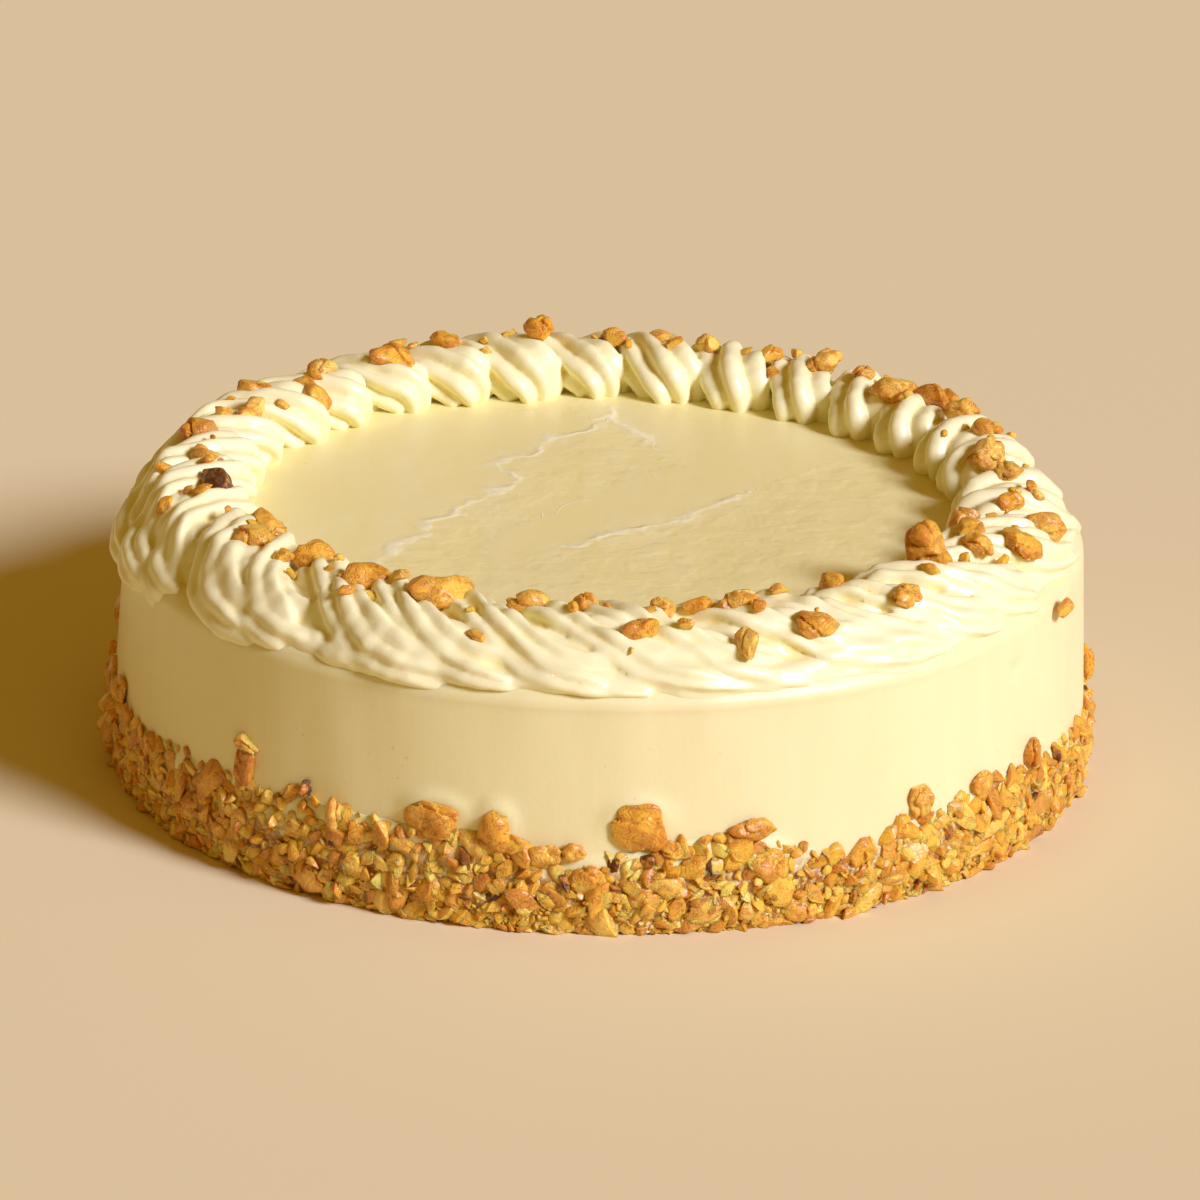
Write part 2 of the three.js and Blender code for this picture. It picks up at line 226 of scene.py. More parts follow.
# Sockets of a Mix node that holds colours; those for numbers have the same names
MIX_FACTOR = 0
MIX_FIRST = 6
MIX_SECOND = 7
MIX_RESULT = 2


def dimmed(shade, share_left):
    return tuple(share_left * part for part in shade)


class Finish:
    """A procedural material: nodes are added by node(), and whole patterns by the methods below it."""

    def __init__(self, name, **constants):
        self.material = bpy.data.materials.new(name)
        self.material.use_nodes = True
        self.tree = self.material.node_tree
        self.shader = self.tree.nodes["Principled BSDF"]
        for socket, value in constants.items():
            self.shader.inputs[socket.replace("_", " ")].default_value = value
        self.place = self.node("ShaderNodeTexCoord", {}, {}, "Object")

    def node(self, kind, settings, sockets, output=0):
        made = self.tree.nodes.new(kind)
        for name, value in settings.items():
            setattr(made, name, value)
        for key, value in sockets.items():
            if isinstance(value, Value):
                self.tree.links.new(value.socket, made.inputs[key])
            else:
                made.inputs[key].default_value = value
        return Value(self, made.outputs[output])

    def scaled(self, x, y, z):
        return self.node("ShaderNodeMapping", {}, {"Vector": self.place, "Scale": (x, y, z)})

    def noise(self, size, detail=2.0, roughness=0.5, distortion=0.0, vector=None):
        """Soft noise with features of about this size, from 0 to 1."""
        sockets = {"Vector": vector or self.place, "Scale": 1 / size, "Detail": detail}
        sockets.update({"Roughness": roughness, "Distortion": distortion})
        return self.node("ShaderNodeTexNoise", {}, sockets)

    def cells(self, size, feature="F1", vector=None):
        sockets = {"Vector": vector or self.place, "Scale": 1 / size}
        return self.node("ShaderNodeTexVoronoi", {"feature": feature}, sockets)

    def attribute(self, name):
        return self.node("ShaderNodeAttribute", {"attribute_name": name}, {}, "Fac")

    def axis(self, letter, vector=None):
        return self.node("ShaderNodeSeparateXYZ", {}, {"Vector": vector or self.place}, letter)

    def mix(self, factor, first, second):
        sockets = {MIX_FACTOR: factor, MIX_FIRST: first, MIX_SECOND: second}
        return self.node("ShaderNodeMix", {"data_type": "RGBA"}, sockets, MIX_RESULT)

    def relief(self, height, distance, strength=1.0):
        """Joins a height from 0 to 1, this deep in metres, to the surface's normal."""
        settings = {"Height": height, "Distance": distance, "Strength": strength}
        self.set("Normal", self.node("ShaderNodeBump", {}, settings))

    def set(self, name, value):
        self.tree.links.new(value.socket, self.shader.inputs[name])


# Meshes


def plain_mesh(name, points, faces):
    mesh = bpy.data.meshes.new(name)
    mesh.from_pydata(np.asarray(points).tolist(), [], faces)
    return mesh


def mesh_of(whole, name):
    """A mesh with what a bmesh holds, which is then freed."""
    mesh = bpy.data.meshes.new(name)
    whole.to_mesh(mesh)
    whole.free()
    return mesh


def piece_from(name, points, faces, finish, slot, *nodes):
    """A mesh piece with smooth faces that rides on the cake and stands for the CAD nodes."""
    mesh = plain_mesh(name, points, faces)
    mesh.shade_smooth()
    return settled(name, mesh, finish, slot, *nodes)


def settled(name, mesh, finish, slot, *nodes):
    piece = bpy.data.objects.new(name, mesh)
    mesh.name = name
    bpy.context.scene.collection.objects.link(piece)
    if finish:
        mesh.materials.clear()
        mesh.materials.append(finish)
    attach(piece, BODY)
    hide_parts(*nodes)
    return piece


def rows_of(items, name, width, kind=float):
    """What a mesh's items hold under this name, as an array with a row for each item."""
    values = np.empty(len(items) * width, kind)
    items.foreach_get(name, values)
    return values.reshape(-1, width)


def get_points(mesh):
    return rows_of(mesh.vertices, "co", 3)


def normals_of(mesh):
    return rows_of(mesh.vertex_normals, "vector", 3)


def edges_of(mesh):
    return rows_of(mesh.edges, "vertices", 2, int)


def tree_of(mesh):
    """The mesh's faces, for rays to meet."""
    corners = [corner.co for corner in mesh.vertices]
    return BVHTree.FromPolygons(corners, [tuple(face.vertices) for face in mesh.polygons])


def set_points(mesh, points):
    mesh.vertices.foreach_set("co", np.asarray(points, np.float32).ravel())
    mesh.update()


def store(mesh, name, values):
    layer = mesh.attributes.new(name, "FLOAT", "POINT")
    layer.data.foreach_set("value", np.asarray(values, np.float32))


def waves(points, size, seed, count=14):
    """Smooth noise from -1 to 1 over an array of points, as a sum of plane waves of about this size."""
    draw = np.random.default_rng(seed)
    total = np.zeros(len(points))
    for _ in range(count):
        way = draw.normal(size=3)
        way *= 2 * math.pi / (size * draw.uniform(1.4, 3.0) * np.linalg.norm(way))
        total += np.sin(points @ way + draw.uniform(0, 2 * math.pi))
    return total / math.sqrt(count)


def softened(points, edges, times, strength=0.5):
    """Moves each point towards the middle of its neighbours."""
    first, second = edges.T
    neighbours = np.bincount(edges.ravel(), minlength=len(points))[:, None]
    for _ in range(times):
        total = np.empty_like(points)
        for axis in range(3):
            total[:, axis] = np.bincount(first, points[second, axis], len(points))
            total[:, axis] += np.bincount(second, points[first, axis], len(points))
        points = points + strength * (total / np.maximum(neighbours, 1) - points)
    return points


def bell(value, middle, width):
    return np.exp(-(((value - middle) / width) ** 2))


def turn_from(middle, angle):
    """Turns from a middle angle, from minus to plus half a round."""
    return (angle - middle + math.pi) % (2 * math.pi) - math.pi


def around(radius, angle, height):
    """Points at these angles round the cake's axis."""
    return np.stack((radius * np.cos(angle), radius * np.sin(angle), height), -1)


def ring_faces(rings, sides, closed=False):
    """Faces between each ring of points and the next, and from the last to the first when closed."""
    faces = []
    for ring in range(rings if closed else rings - 1):
        low, high = ring * sides, (ring + 1) % rings * sides
        for k in range(sides):
            after = (k + 1) % sides
            faces.append((low + k, low + after, high + after, high + k))
    return faces


def outline(angle):
    """How far the hand-spread side strays from a circle."""
    broad = 0.45 * np.sin(2 * angle + 0.6) + 0.3 * np.sin(3 * angle + 2)
    return MM * (broad + 0.2 * np.sin(5 * angle + 1))


def side_radius(z):
    foot = SIDE_RADIUS - FOOT_TUCK * np.clip((WIDEST_AT - z) / WIDEST_AT, 0, 1) ** 2
    return foot - SIDE_TAPER * np.clip((z - WIDEST_AT) / (SHOULDER_FROM - WIDEST_AT), 0, 1)


# The frosted cake

ANGLE_STEPS = 540
SIDE_ROWS = 46
SHOULDER_ROWS = 8
TOP_ROWS = 34

# A low lip that the knife left under the front of the rope, and a dent at the right
LIP_HEIGHT = 57.5 * MM
LIP_WIDTH = 1.1 * MM
LIP_PROUD = 0.55 * MM
DENT_AT = math.radians(-32)
DENT_HEIGHT = 48 * MM
DENT_DEEP = 0.9 * MM
SWELL_PROUD = 1.2 * MM  # the cream pressed up over the chunks of nut
SWELL_FROM = 75  # width times tallness, in millimetres, of the smallest chunk that has it
FLAT_RADIUS = 113 * MM

# Lines that the knife left on the top, each a run of (x, y) points
SCRAPES = (
    ((-62, -52), (-48, -20), (-30, 12), (-22, 24), (-28, 36), (-18, 44), (-14, 56), (-2, 68)),
    ((0, 84), (4, 70), (11, 56)),
    ((-8, -22), (6, -8), (22, 2), (34, 16)),
)


def rings_of_cake():
    """Profile of the cake from the middle of its base over the side to the middle of its top."""
    rows = [(part * SIDE_RADIUS * 0.985, 0.0) for part in (0.0, 0.5, 0.97)]
    rows += [(float(side_radius(z)), z) for z in np.linspace(0, SHOULDER_FROM, SIDE_ROWS)]
    rim = rows[-1][0] - SHOULDER
    for turn in np.radians(np.linspace(0, 90, SHOULDER_ROWS))[1:]:
        rows.append((rim + SHOULDER * math.cos(turn), SHOULDER_FROM + SHOULDER * math.sin(turn)))
    rows += [(rim * s, CAKE_TOP) for s in np.linspace(0.97, 0.0, TOP_ROWS)]
    return rows


def lathe(rows, steps):
    """Points and faces of a closed turned form whose first and last rows lie on the axis."""
    turns = np.linspace(0, 2 * math.pi, steps, endpoint=False)
    points = [(0.0, 0.0, rows[0][1])]
    for radius, height in rows[1:-1]:
        points += [(radius * c, radius * s, height) for c, s in zip(np.cos(turns), np.sin(turns))]
    points.append((0.0, 0.0, rows[-1][1]))
    last = len(points) - 1
    faces = [(0, 1 + (k + 1) % steps, 1 + k) for k in range(steps)]
    faces += [tuple(1 + corner for corner in face) for face in ring_faces(len(rows) - 2, steps)]
    high = 1 + (len(rows) - 3) * steps
    faces += [(high + k, high + (k + 1) % steps, last) for k in range(steps)]
    return np.array(points), faces


def distance_to_scrapes(points):
    """Signed distance on the top to the nearest line that the knife left, in metres."""
    nearest = np.full(len(points), 1.0)
    for run in SCRAPES:
        run = np.array(run) * MM
        for start, end in zip(run[:-1], run[1:]):
            along = end - start
            reach = np.linalg.norm(along)
            offset = points[:, :2] - start
            where = np.clip(offset @ along / reach**2, 0, 1)
            apart = offset - where[:, None] * along
            side = np.sign(apart @ np.array((-along[1], along[0])) / reach)
            distance = np.linalg.norm(apart, axis=1) * np.where(side == 0, 1, side)
            nearest = np.where(np.abs(distance) < np.abs(nearest), distance, nearest)
    return nearest


def frosting_finish(settings):
    finish = Finish(
        "smooth_frosting",
        Roughness=0.4,
        Subsurface_Weight=0.35,
        Subsurface_Radius=(1.0, 0.75, 0.35),
        Subsurface_Scale=3 * MM,
        Specular_IOR_Level=0.45,
        Coat_Weight=0.12,
        Coat_Roughness=0.3,
    )
    height = finish.axis("Z")
    on_top = height.between(CAKE_TOP - 3 * MM, CAKE_TOP - 0.5 * MM)
    streaks = finish.noise(7 * MM, 3.0, 0.6, vector=finish.scaled(1, 1, 0.12))
    patches = finish.noise(34 * MM, 2.0, 0.5, 0.6)
    strokes = finish.noise(16 * MM, 3.0, 0.6, 1.5, vector=finish.scaled(1, 0.25, 1))
    wander = (finish.noise(11 * MM, 2.0, 0.5) - 0.5) * (13 * MM)
    wander = wander + (finish.noise(4 * MM, 2.0, 0.5) - 0.5) * (3 * MM)
    from_line = finish.attribute("scrape") + wander
    line = abs(from_line)
    broken = finish.noise(8 * MM, 2.0, 0.6).between(0.4, 0.6)
    # Along each knife line the frosting is painted paler: the scraped cream's own tone and a painted
    # highlight on its ridge
    scrape = line.between(2.2 * MM, 0.3 * MM) * (0.35 + 0.65 * broken)
    smear_and_highlight = line.between(9 * MM, 0.5 * MM) * finish.noise(6 * MM, 3.0, 0.7).between(0.45, 0.75)
    side = finish.mix(streaks.between(0.35, 0.7) * 0.12, settings.side, settings.pale)
    flat = finish.mix(strokes.between(0.45, 0.8) * 0.3, settings.top, settings.pale)
    flat = finish.mix((scrape * 0.95 + smear_and_highlight * 0.5).at_most(1.0), flat, settings.pale)
    base = finish.mix(on_top, side, flat)
    base = finish.mix(patches.between(0.55, 0.8) * 0.15, base, dimmed(settings.top, 0.9))
    speck = finish.cells(3.2 * MM)
    speck = speck.between(0.15, 0.1) * finish.noise(13 * MM, 1.0).between(0.64, 0.7)
    finish.set("Base Color", finish.mix(speck * 0.35, base, (0.52, 0.47, 0.2, 1)))
    finish.set("Roughness", 0.36 + finish.noise(9 * MM, 3.0) * 0.16)
    fine = finish.noise(1.1 * MM, 2.0) * 0.12
    lip = from_line.between(1.2 * MM, -1.2 * MM) * broken * on_top
    marks = scrape * 0.8 + lip * 0.5 + fine
    finish.relief(streaks * 0.25 + strokes * on_top * 0.3 + marks, 0.4 * MM, 0.7)
    return finish.material


def swell_over(chunk, angle, height):
    """From 0 to 1: how far the cream is pressed up over a chunk of nut, and less beside it."""
    aside = turn_from(math.radians(chunk.angle), angle) * SIDE_RADIUS / (chunk.width * MM)
    up = (height - chunk.height * MM) / (chunk.tallness * MM)
    return bell(np.hypot(aside, up), 0.5, 0.2) * np.clip(0.3 + 1.4 * up, 0, 1)


class CAKE_OT_frosting(bpy.types.Operator):
    """Make the cake's body with its smooth frosting"""

    bl_idname = "cake.frosting"
    bl_label = "Frosted body"

    def execute(self, context):
        settings = context.scene.carrot_cake.frosting
        points, faces = lathe(rings_of_cake(), ANGLE_STEPS)
        height = points[:, 2].copy()
        radius = np.hypot(points[:, 0], points[:, 1])
        angle = np.arctan2(points[:, 1], points[:, 0])
        stray = 1 + outline(angle) / SIDE_RADIUS
        points[:, :2] *= stray[:, None]
        # spatula work: broad hollows on the side, and on the top a swirl of shallow ones
        ring = np.stack((np.cos(angle), np.sin(angle)), 1)
        unrolled = np.column_stack((ring * SIDE_RADIUS, height * 0.35))
        on_side = (radius > 0.9 * SIDE_RADIUS) & (height > 0)
        push = settings.wobble * waves(unrolled, 30 * MM, 3) + 0.12 * MM * waves(unrolled, 9 * MM, 4)
        for chunk in CHUNKS:
            if chunk.width * chunk.tallness >= SWELL_FROM:
                push += SWELL_PROUD * swell_over(chunk, angle, height)
        front = np.clip(np.cos(angle - SMEAR_AT), 0, 1) ** 3
        push = push * on_side + LIP_PROUD * front * bell(height, LIP_HEIGHT, LIP_WIDTH)
        dent = bell((angle - DENT_AT) * SIDE_RADIUS, 0, 3 * MM) * bell(height, DENT_HEIGHT, 2 * MM)
        points[:, :2] += ring * (push - DENT_DEEP * dent)[:, None]
        flat = np.clip((FLAT_RADIUS - radius) / (10 * MM), 0, 1) * (height > 50 * MM)
        points[:, 2] += flat * (0.3 * MM * waves(points * (1, 0.6, 1), 26 * MM, 5) - 0.2 * MM)
        piece = piece_from(
            "frosting", points, faces, frosting_finish(settings), "smooth_frosting", "frosted_cake"
        )
        store(piece.data, "scrape", distance_to_scrapes(points))
        return {"FINISHED"}


# The piped rope

LOOP_STEPS = 44
RIM_STEPS = 84
VARIANTS_EACH = 4
LOOP_SEED = 20
LOOP_TUCK = 3 * MM
LOOP_SINK = 2.5 * MM
ROPE_TRIANGLES = 190_000


class LoopKind(NamedTuple):
    """One way that the hand piped its loops. Lengths and depths are shares of the rope's settings."""

    starts_at: float  # degrees round the rim
    teeth: int  # of the star tip
    groove: float
    drag: float
    tail: float  # thickness of its end
    crest: float  # from 0 for broad ridges to 1 for narrow ones
    curl: float  # how far the tail curls back
    reach: float  # how far it reaches outwards
    wide: float  # its width to its thickness


# In the order that they follow each other round the rim; the first begins again before angle 0
LOOP_KINDS = (
    LoopKind(338, teeth=6, groove=1.3, drag=0.75, tail=0.7, crest=0.9, curl=0, reach=1, wide=1.25),
    LoopKind(72, teeth=7, groove=1.1, drag=1.15, tail=0.75, crest=0.85, curl=0, reach=1, wide=1.2),
    LoopKind(168, teeth=8, groove=0.95, drag=1.5, tail=0.9, crest=0.75, curl=0.16, reach=1, wide=1.1),
    LoopKind(230, teeth=8, groove=1.05, drag=1.65, tail=0.9, crest=0.8, curl=0.12, reach=0.9, wide=1),
)


def foot_share(s):
    """From 1 to 0 over the first part of a loop, where it bulges from the flat top."""
    return np.clip(1 - s / 0.18, 0, 1) ** 1.5


def loop_points(settings, kind, seed):
    """Rings of a star strand that climbs from the inner foot over the crest and trails off outside.

    The loop stands at angle 0 of the rim: x runs outwards, y on round the rim, z up."""
    draw = np.random.default_rng(seed)
    swing = draw.uniform(0.92, 1.1)
    drag = settings.drag * kind.drag * draw.uniform(0.85, 1.2)
    fat = settings.strand * draw.uniform(0.92, 1.07)
    twist = draw.uniform(-0.6, 0.6)
    phase = draw.uniform(0, 2 * math.pi)

    def line(s):
        s = np.clip(s, 0, 1)
        reach = np.where(s < 0.5, LOOP_IN, LOOP_OUT * kind.reach)
        x = -np.cos(math.pi * s * (1 + kind.curl * s)) * swing * reach
        z = 1 * MM + settings.rise * np.sin(math.pi * (0.1 + 0.9 * s)) ** 0.8
        foot = foot_share(s)
        return np.stack((x + LOOP_TUCK * foot, drag * s**1.6, z - LOOP_SINK * foot), -1)

    s = np.linspace(0, 1, LOOP_STEPS)
    here = line(s)
    along = line(s + 0.01) - line(s - 0.01)
    along /= np.linalg.norm(along, axis=1)[:, None]
    outwards = np.stack((here[:, 0], np.zeros_like(s), here[:, 2] + 4 * MM), -1)
    outwards -= (outwards * along).sum(1)[:, None] * along
    outwards /= np.linalg.norm(outwards, axis=1)[:, None]
    across = np.cross(along, outwards)
    size = fat * np.where(s < 0.5, 1.22 - 0.44 * s, 1 - (1 - kind.tail) * (2 * s - 1))
    size *= 1 + 0.04 * np.sin(9 * s + phase) + 0.025 * np.sin(23 * s + 2 * phase)
    size *= 1 - 0.2 * foot_share(s)
    turn = np.linspace(0, 2 * math.pi, RIM_STEPS, endpoint=False)[None, :]
    ragged = s[:, None] + 0.05 * np.sin(3 * turn + phase) + 0.03 * np.sin(5 * turn - phase)
    size = size[:, None] * np.sqrt(np.clip(1.02 - np.clip((ragged - 0.88) / 0.12, 0, 1) ** 2, 0.1, 1))
    wander = twist * (s[:, None] - 0.4) + 0.06 * np.sin(11 * s[:, None] + phase)
    star = np.abs(np.cos(kind.teeth * (turn + wander) / 2)) ** kind.crest
    radius = size * (1.13 - settings.groove * kind.groove * (1 - star))
    offset = outwards[:, None] * np.cos(turn)[..., None]
    offset = offset + kind.wide * across[:, None] * np.sin(turn)[..., None]
    return here[:, None] + offset * radius[..., None]


def loop_mesh(settings, kind, seed):
    points, faces = tube(loop_points(settings, kind, seed))
    # bent round the rim: the run along y becomes an angle
    radius = ROPE_RADIUS + points[:, 0]
    angle = points[:, 1] / ROPE_RADIUS
    return plain_mesh("loop", around(radius, angle, CAKE_TOP + points[:, 2]), faces)


def modified(mesh, kind, inputs=None, **settings):
    """The mesh that one modifier makes of a mesh. The inputs are those of a node group, by socket
    identifier."""
    carrier = bpy.data.objects.new("carrier", mesh)
    bpy.context.scene.collection.objects.link(carrier)
    modifier = carrier.modifiers.new("one", kind)
    for name, value in settings.items():
        setattr(modifier, name, value)
    for identifier, value in (inputs or {}).items():
        modifier[identifier] = value
    bpy.context.view_layer.update()
    seen = carrier.evaluated_get(bpy.context.evaluated_depsgraph_get())
    made = bpy.data.meshes.new_from_object(seen)
    bpy.data.objects.remove(carrier)
    return made


# Sockets of a Random Value node for each kind of value: the least, the greatest and the result
RANDOM_SOCKETS = {"FLOAT": (2, 3, 1), "INT": (4, 5, 2)}


class NodeGroup:
    """A Geometry Nodes tree with named inputs."""

    def __init__(self, name, **inputs):
        self.tree = bpy.data.node_groups.new(name, "GeometryNodeTree")
        self.tree.interface.new_socket("Geometry", in_out="INPUT", socket_type="NodeSocketGeometry")
        self.tree.interface.new_socket("Geometry", in_out="OUTPUT", socket_type="NodeSocketGeometry")
        for label, (kind, default) in inputs.items():
            socket = self.tree.interface.new_socket(
                label.replace("_", " "), in_out="INPUT", socket_type="NodeSocket" + kind
            )
            if default is not None:
                socket.default_value = default
        self.inputs = self.add("NodeGroupInput").outputs
        self.outputs = self.add("NodeGroupOutput").inputs

    def add(self, kind, settings=None, sockets=None):
        made = self.tree.nodes.new(kind)
        for name, value in (settings or {}).items():
            setattr(made, name, value)
        for key, value in (sockets or {}).items():
            if isinstance(value, bpy.types.NodeSocket):
                self.tree.links.new(value, made.inputs[key])
            else:
                made.inputs[key].default_value = value
        return made

    def maths(self, operation, *values):
        return self.add("ShaderNodeMath", {"operation": operation}, dict(enumerate(values))).outputs[0]

    def random(self, low, high, seed, kind="FLOAT"):
        first, second, result = RANDOM_SOCKETS[kind]
        sockets = {first: low, second: high, "Seed": seed}
        return self.add("FunctionNodeRandomValue", {"data_type": kind}, sockets).outputs[result]

    def children(self, collection):
        """The objects of a collection as instances to pick from."""
        sockets = {"Collection": collection, "Separate Children": True}
        return self.add("GeometryNodeCollectionInfo", None, sockets).outputs[0]

    def finish(self, geometry, material):
        """Ends the tree: instances made real, and their material set."""
        real = self.add("GeometryNodeRealizeInstances", None, {"Geometry": geometry})
        sockets = {"Geometry": real.outputs[0], "Material": material}
        coated = self.add("GeometryNodeSetMaterial", None, sockets)
        self.tree.links.new(coated.outputs[0], self.outputs[0])

    def applied_to(self, mesh, **values):
        """The plain mesh that the tree makes of a mesh, with its inputs set to these values."""
        items = self.tree.interface.items_tree
        known = {item.name: item.identifier for item in items if item.in_out == "INPUT"}
        inputs = {known[label.replace("_", " ")]: value for label, value in values.items()}
        return modified(mesh, "NODES", inputs, node_group=self.tree)


def variants(name, meshes):
    """A hidden collection with one object for each mesh, for a tree to pick from in this order."""
    collection = bpy.data.collections.new(name)
    for count, mesh in enumerate(meshes):
        collection.objects.link(bpy.data.objects.new(f"{name}_{count:02d}", mesh))
    return collection


def clear_variants(collection):
    for one in list(collection.objects):
        bpy.data.objects.remove(one)
    bpy.data.collections.remove(collection)


def rope_tree():
    """Loops turned about the cake's axis, one after the other round the rim, each of the kind that
    the hand piped there."""
    first, *others = LOOP_KINDS
    group = NodeGroup(
        "piped_rope",
        Loops=("Int", 32),
        Variants=("Collection", None),
        Stray=("Float", 0.02),
        Seed=("Int", 5),
        Material=("Material", None),
        First_kind_again=("Float", math.radians(first.starts_at)),
        **{
            f"Kind_{count}_from": ("Float", math.radians(kind.starts_at))
            for count, kind in enumerate(others, 2)
        },
    )
    take = group.inputs
    seats = group.add("GeometryNodePoints", None, {"Count": take["Loops"]}).outputs[0]
    index = group.add("GeometryNodeInputIndex").outputs[0]
    seat = group.maths("MULTIPLY", group.maths("DIVIDE", index, take["Loops"]), 2 * math.pi)
    stray = group.random(group.maths("MULTIPLY", take["Stray"], -1.0), take["Stray"], take["Seed"])
    turned = group.add("ShaderNodeCombineXYZ", None, {"Z": group.maths("ADD", seat, stray)}).outputs[0]
    again = group.maths("GREATER_THAN", seat, take["First kind again"])
    kind = group.maths("MULTIPLY", again, -len(others))
    for count in range(2, len(others) + 2):
        kind = group.maths("ADD", kind, group.maths("GREATER_THAN", seat, take[f"Kind {count} from"]))
    pick = group.random(0, VARIANTS_EACH - 1, take["Seed"], "INT")
    pick = group.maths("MULTIPLY_ADD", kind, float(VARIANTS_EACH), pick)
    sockets = {
        "Points": seats,
        "Instance": group.children(take["Variants"]),
        "Pick Instance": True,
        "Instance Index": pick,
        "Rotation": turned,
    }
    group.finish(group.add("GeometryNodeInstanceOnPoints", None, sockets).outputs[0], take["Material"])
    return group


def place_on_rim(points):
    """Angle round the rim, step outwards from the rope's crest, and height over the cake's top."""
    angle = np.arctan2(points[:, 1], points[:, 0])
    return angle, np.hypot(points[:, 0], points[:, 1]) - ROPE_RADIUS, points[:, 2] - CAKE_TOP


def smeared(angle):
    """From 0 to 1: how far the front of the rope was dragged sideways and smoothed."""
    return np.clip(1.5 * np.maximum(0, np.cos(angle - SMEAR_AT)) ** 2 - 0.25, 0, 1)


def sagged(points):
    """The rope's outer side sags over the shoulder, most where the rope has slumped, and lies
    flatter where it was dragged."""
    angle, step, height = place_on_rim(points)
    slump = np.maximum(0, np.cos(angle - SLUMP_AT)) ** 4
    front = smeared(angle)
    outer = np.clip(step / LOOP_OUT, 0, 1)
    step = step + SLUMP_OUT * slump * outer
    strength = (0.15 + 0.27 * slump) / math.sqrt(MM)
    drop = strength * np.maximum(0, np.minimum(step, 14 * MM) - DROOP_FROM) ** 1.5
    height = height * (1 - 0.22 * front * outer) - drop
    angle = angle + front * 5 * MM * outer**1.5 / ROPE_RADIUS
    return around(ROPE_RADIUS + step, angle, CAKE_TOP + height)


def rope_core():
    """The cream between the loops, a low closed ring."""
    section = ((-7, -0.6), (15, -3), (14.5, 1.5), (11, 5), (4, 7.5), (-2, 7.5), (-5.5, 3.5))
    section = np.array(section) * MM
    steps = 180
    turns = np.linspace(0, 2 * math.pi, steps, endpoint=False)
    points = [
        ((ROPE_RADIUS + x) * math.cos(t), (ROPE_RADIUS + x) * math.sin(t), CAKE_TOP + z)
        for t in turns
        for x, z in section
    ]
    faces = [(a, d, c, b) for a, b, c, d in ring_faces(steps, len(section), closed=True)]
    return points, faces


class Streak(NamedTuple):
    """A long low ridge along the lower edge of the rope, where the tails were dragged into it.

    Lengths are in millimetres, and its steps outwards are counted from the rope's crest."""

    starts_at: float  # degrees round the rim
    reach: float
    thickness: float
    first_step: float
    last_step: float


STREAKS = (
    Streak(203, 52, 2.6, 9, 14.5), Streak(213, 50, 2.8, 8, 13.5), Streak(219, 60, 3.0, 10.5, 15),
    Streak(231, 56, 2.6, 8.5, 14), Streak(240, 60, 2.8, 10, 15), Streak(251, 54, 2.4, 8, 14),
    Streak(259, 60, 2.6, 10.5, 15), Streak(270, 56, 2.2, 8.5, 14.5), Streak(281, 60, 2.2, 10, 15),
    Streak(292, 54, 2.0, 8.5, 14.5), Streak(302, 48, 1.8, 10, 14),
    Streak(210, 38, 1.7, 12.5, 14.5), Streak(223, 40, 1.8, 12.5, 14.7), Streak(237, 38, 1.7, 12, 14.5),
    Streak(250, 40, 1.8, 12.5, 14.7), Streak(264, 38, 1.6, 12, 14.5), Streak(277, 40, 1.6, 12.5, 14.7),
    Streak(291, 36, 1.5, 12.5, 14.5), Streak(303, 32, 1.4, 12, 14),
)
STREAK_LANDS = 14.5 * MM  # step at which a streak lies on the frosting
STREAK_STEPS = 60
STREAK_SIDES = 14
STREAK_SEED = 60


def streak_points(streak, seed):
    """Rings of one streak: it sinks outwards as it goes round the rim, and its ends taper."""
    draw = np.random.default_rng(seed)
    phase = draw.uniform(0, 2 * math.pi)
    t = np.linspace(0, 1, STREAK_STEPS)
    sway = 0.7 * MM * np.sin(9 * t + phase) + 0.35 * MM * np.sin(23 * t + 2 * phase)
    first, last = streak.first_step * MM, streak.last_step * MM
    step = first + (last - first) * t**0.7 + sway
    lift = 0.67 * (STREAK_LANDS - first)
    height = 1.2 * MM + lift * (1 - t) ** 0.8 + 0.3 * sway
    size = streak.thickness * MM * np.clip(np.sin(math.pi * (0.06 + 0.88 * t)), 0, 1) ** 0.5
    size *= 1 + 0.12 * np.sin(14 * t + 3 * phase)
    turn = np.linspace(0, 2 * math.pi, STREAK_SIDES, endpoint=False)[None, :]
    radius = ROPE_RADIUS + step[:, None] + size[:, None] * np.cos(turn)
    angle = (math.radians(streak.starts_at) + streak.reach * MM * t / ROPE_RADIUS)[:, None]
    return around(radius, angle, CAKE_TOP + height[:, None] + size[:, None] * np.sin(turn))


def tube(rings):
    """Points and faces of a closed tube through rings of points."""
    steps, sides = rings.shape[:2]
    faces = ring_faces(steps, sides)
    faces.append(tuple(range(sides))[::-1])
    faces.append(tuple(range((steps - 1) * sides, steps * sides)))
    return rings.reshape(-1, 3), faces


def keep_largest_part(mesh):
    """Takes the loose crumbs and the closed hollows that a remesh can leave out of a mesh."""
    whole = bmesh.new()
    whole.from_mesh(mesh)
    unseen = set(whole.verts)
    parts = []
    while unseen:
        waiting = [unseen.pop()]
        part = []
        while waiting:
            corner = waiting.pop()
            part.append(corner)
            for edge in corner.link_edges:
                other = edge.other_vert(corner)
                if other in unseen:
                    unseen.remove(other)
                    waiting.append(other)
        parts.append(part)
    parts.sort(key=len)
    loose = [corner for part in parts[:-1] for corner in part]
    bmesh.ops.delete(whole, geom=loose, context="VERTS")
    whole.to_mesh(mesh)
    whole.free()


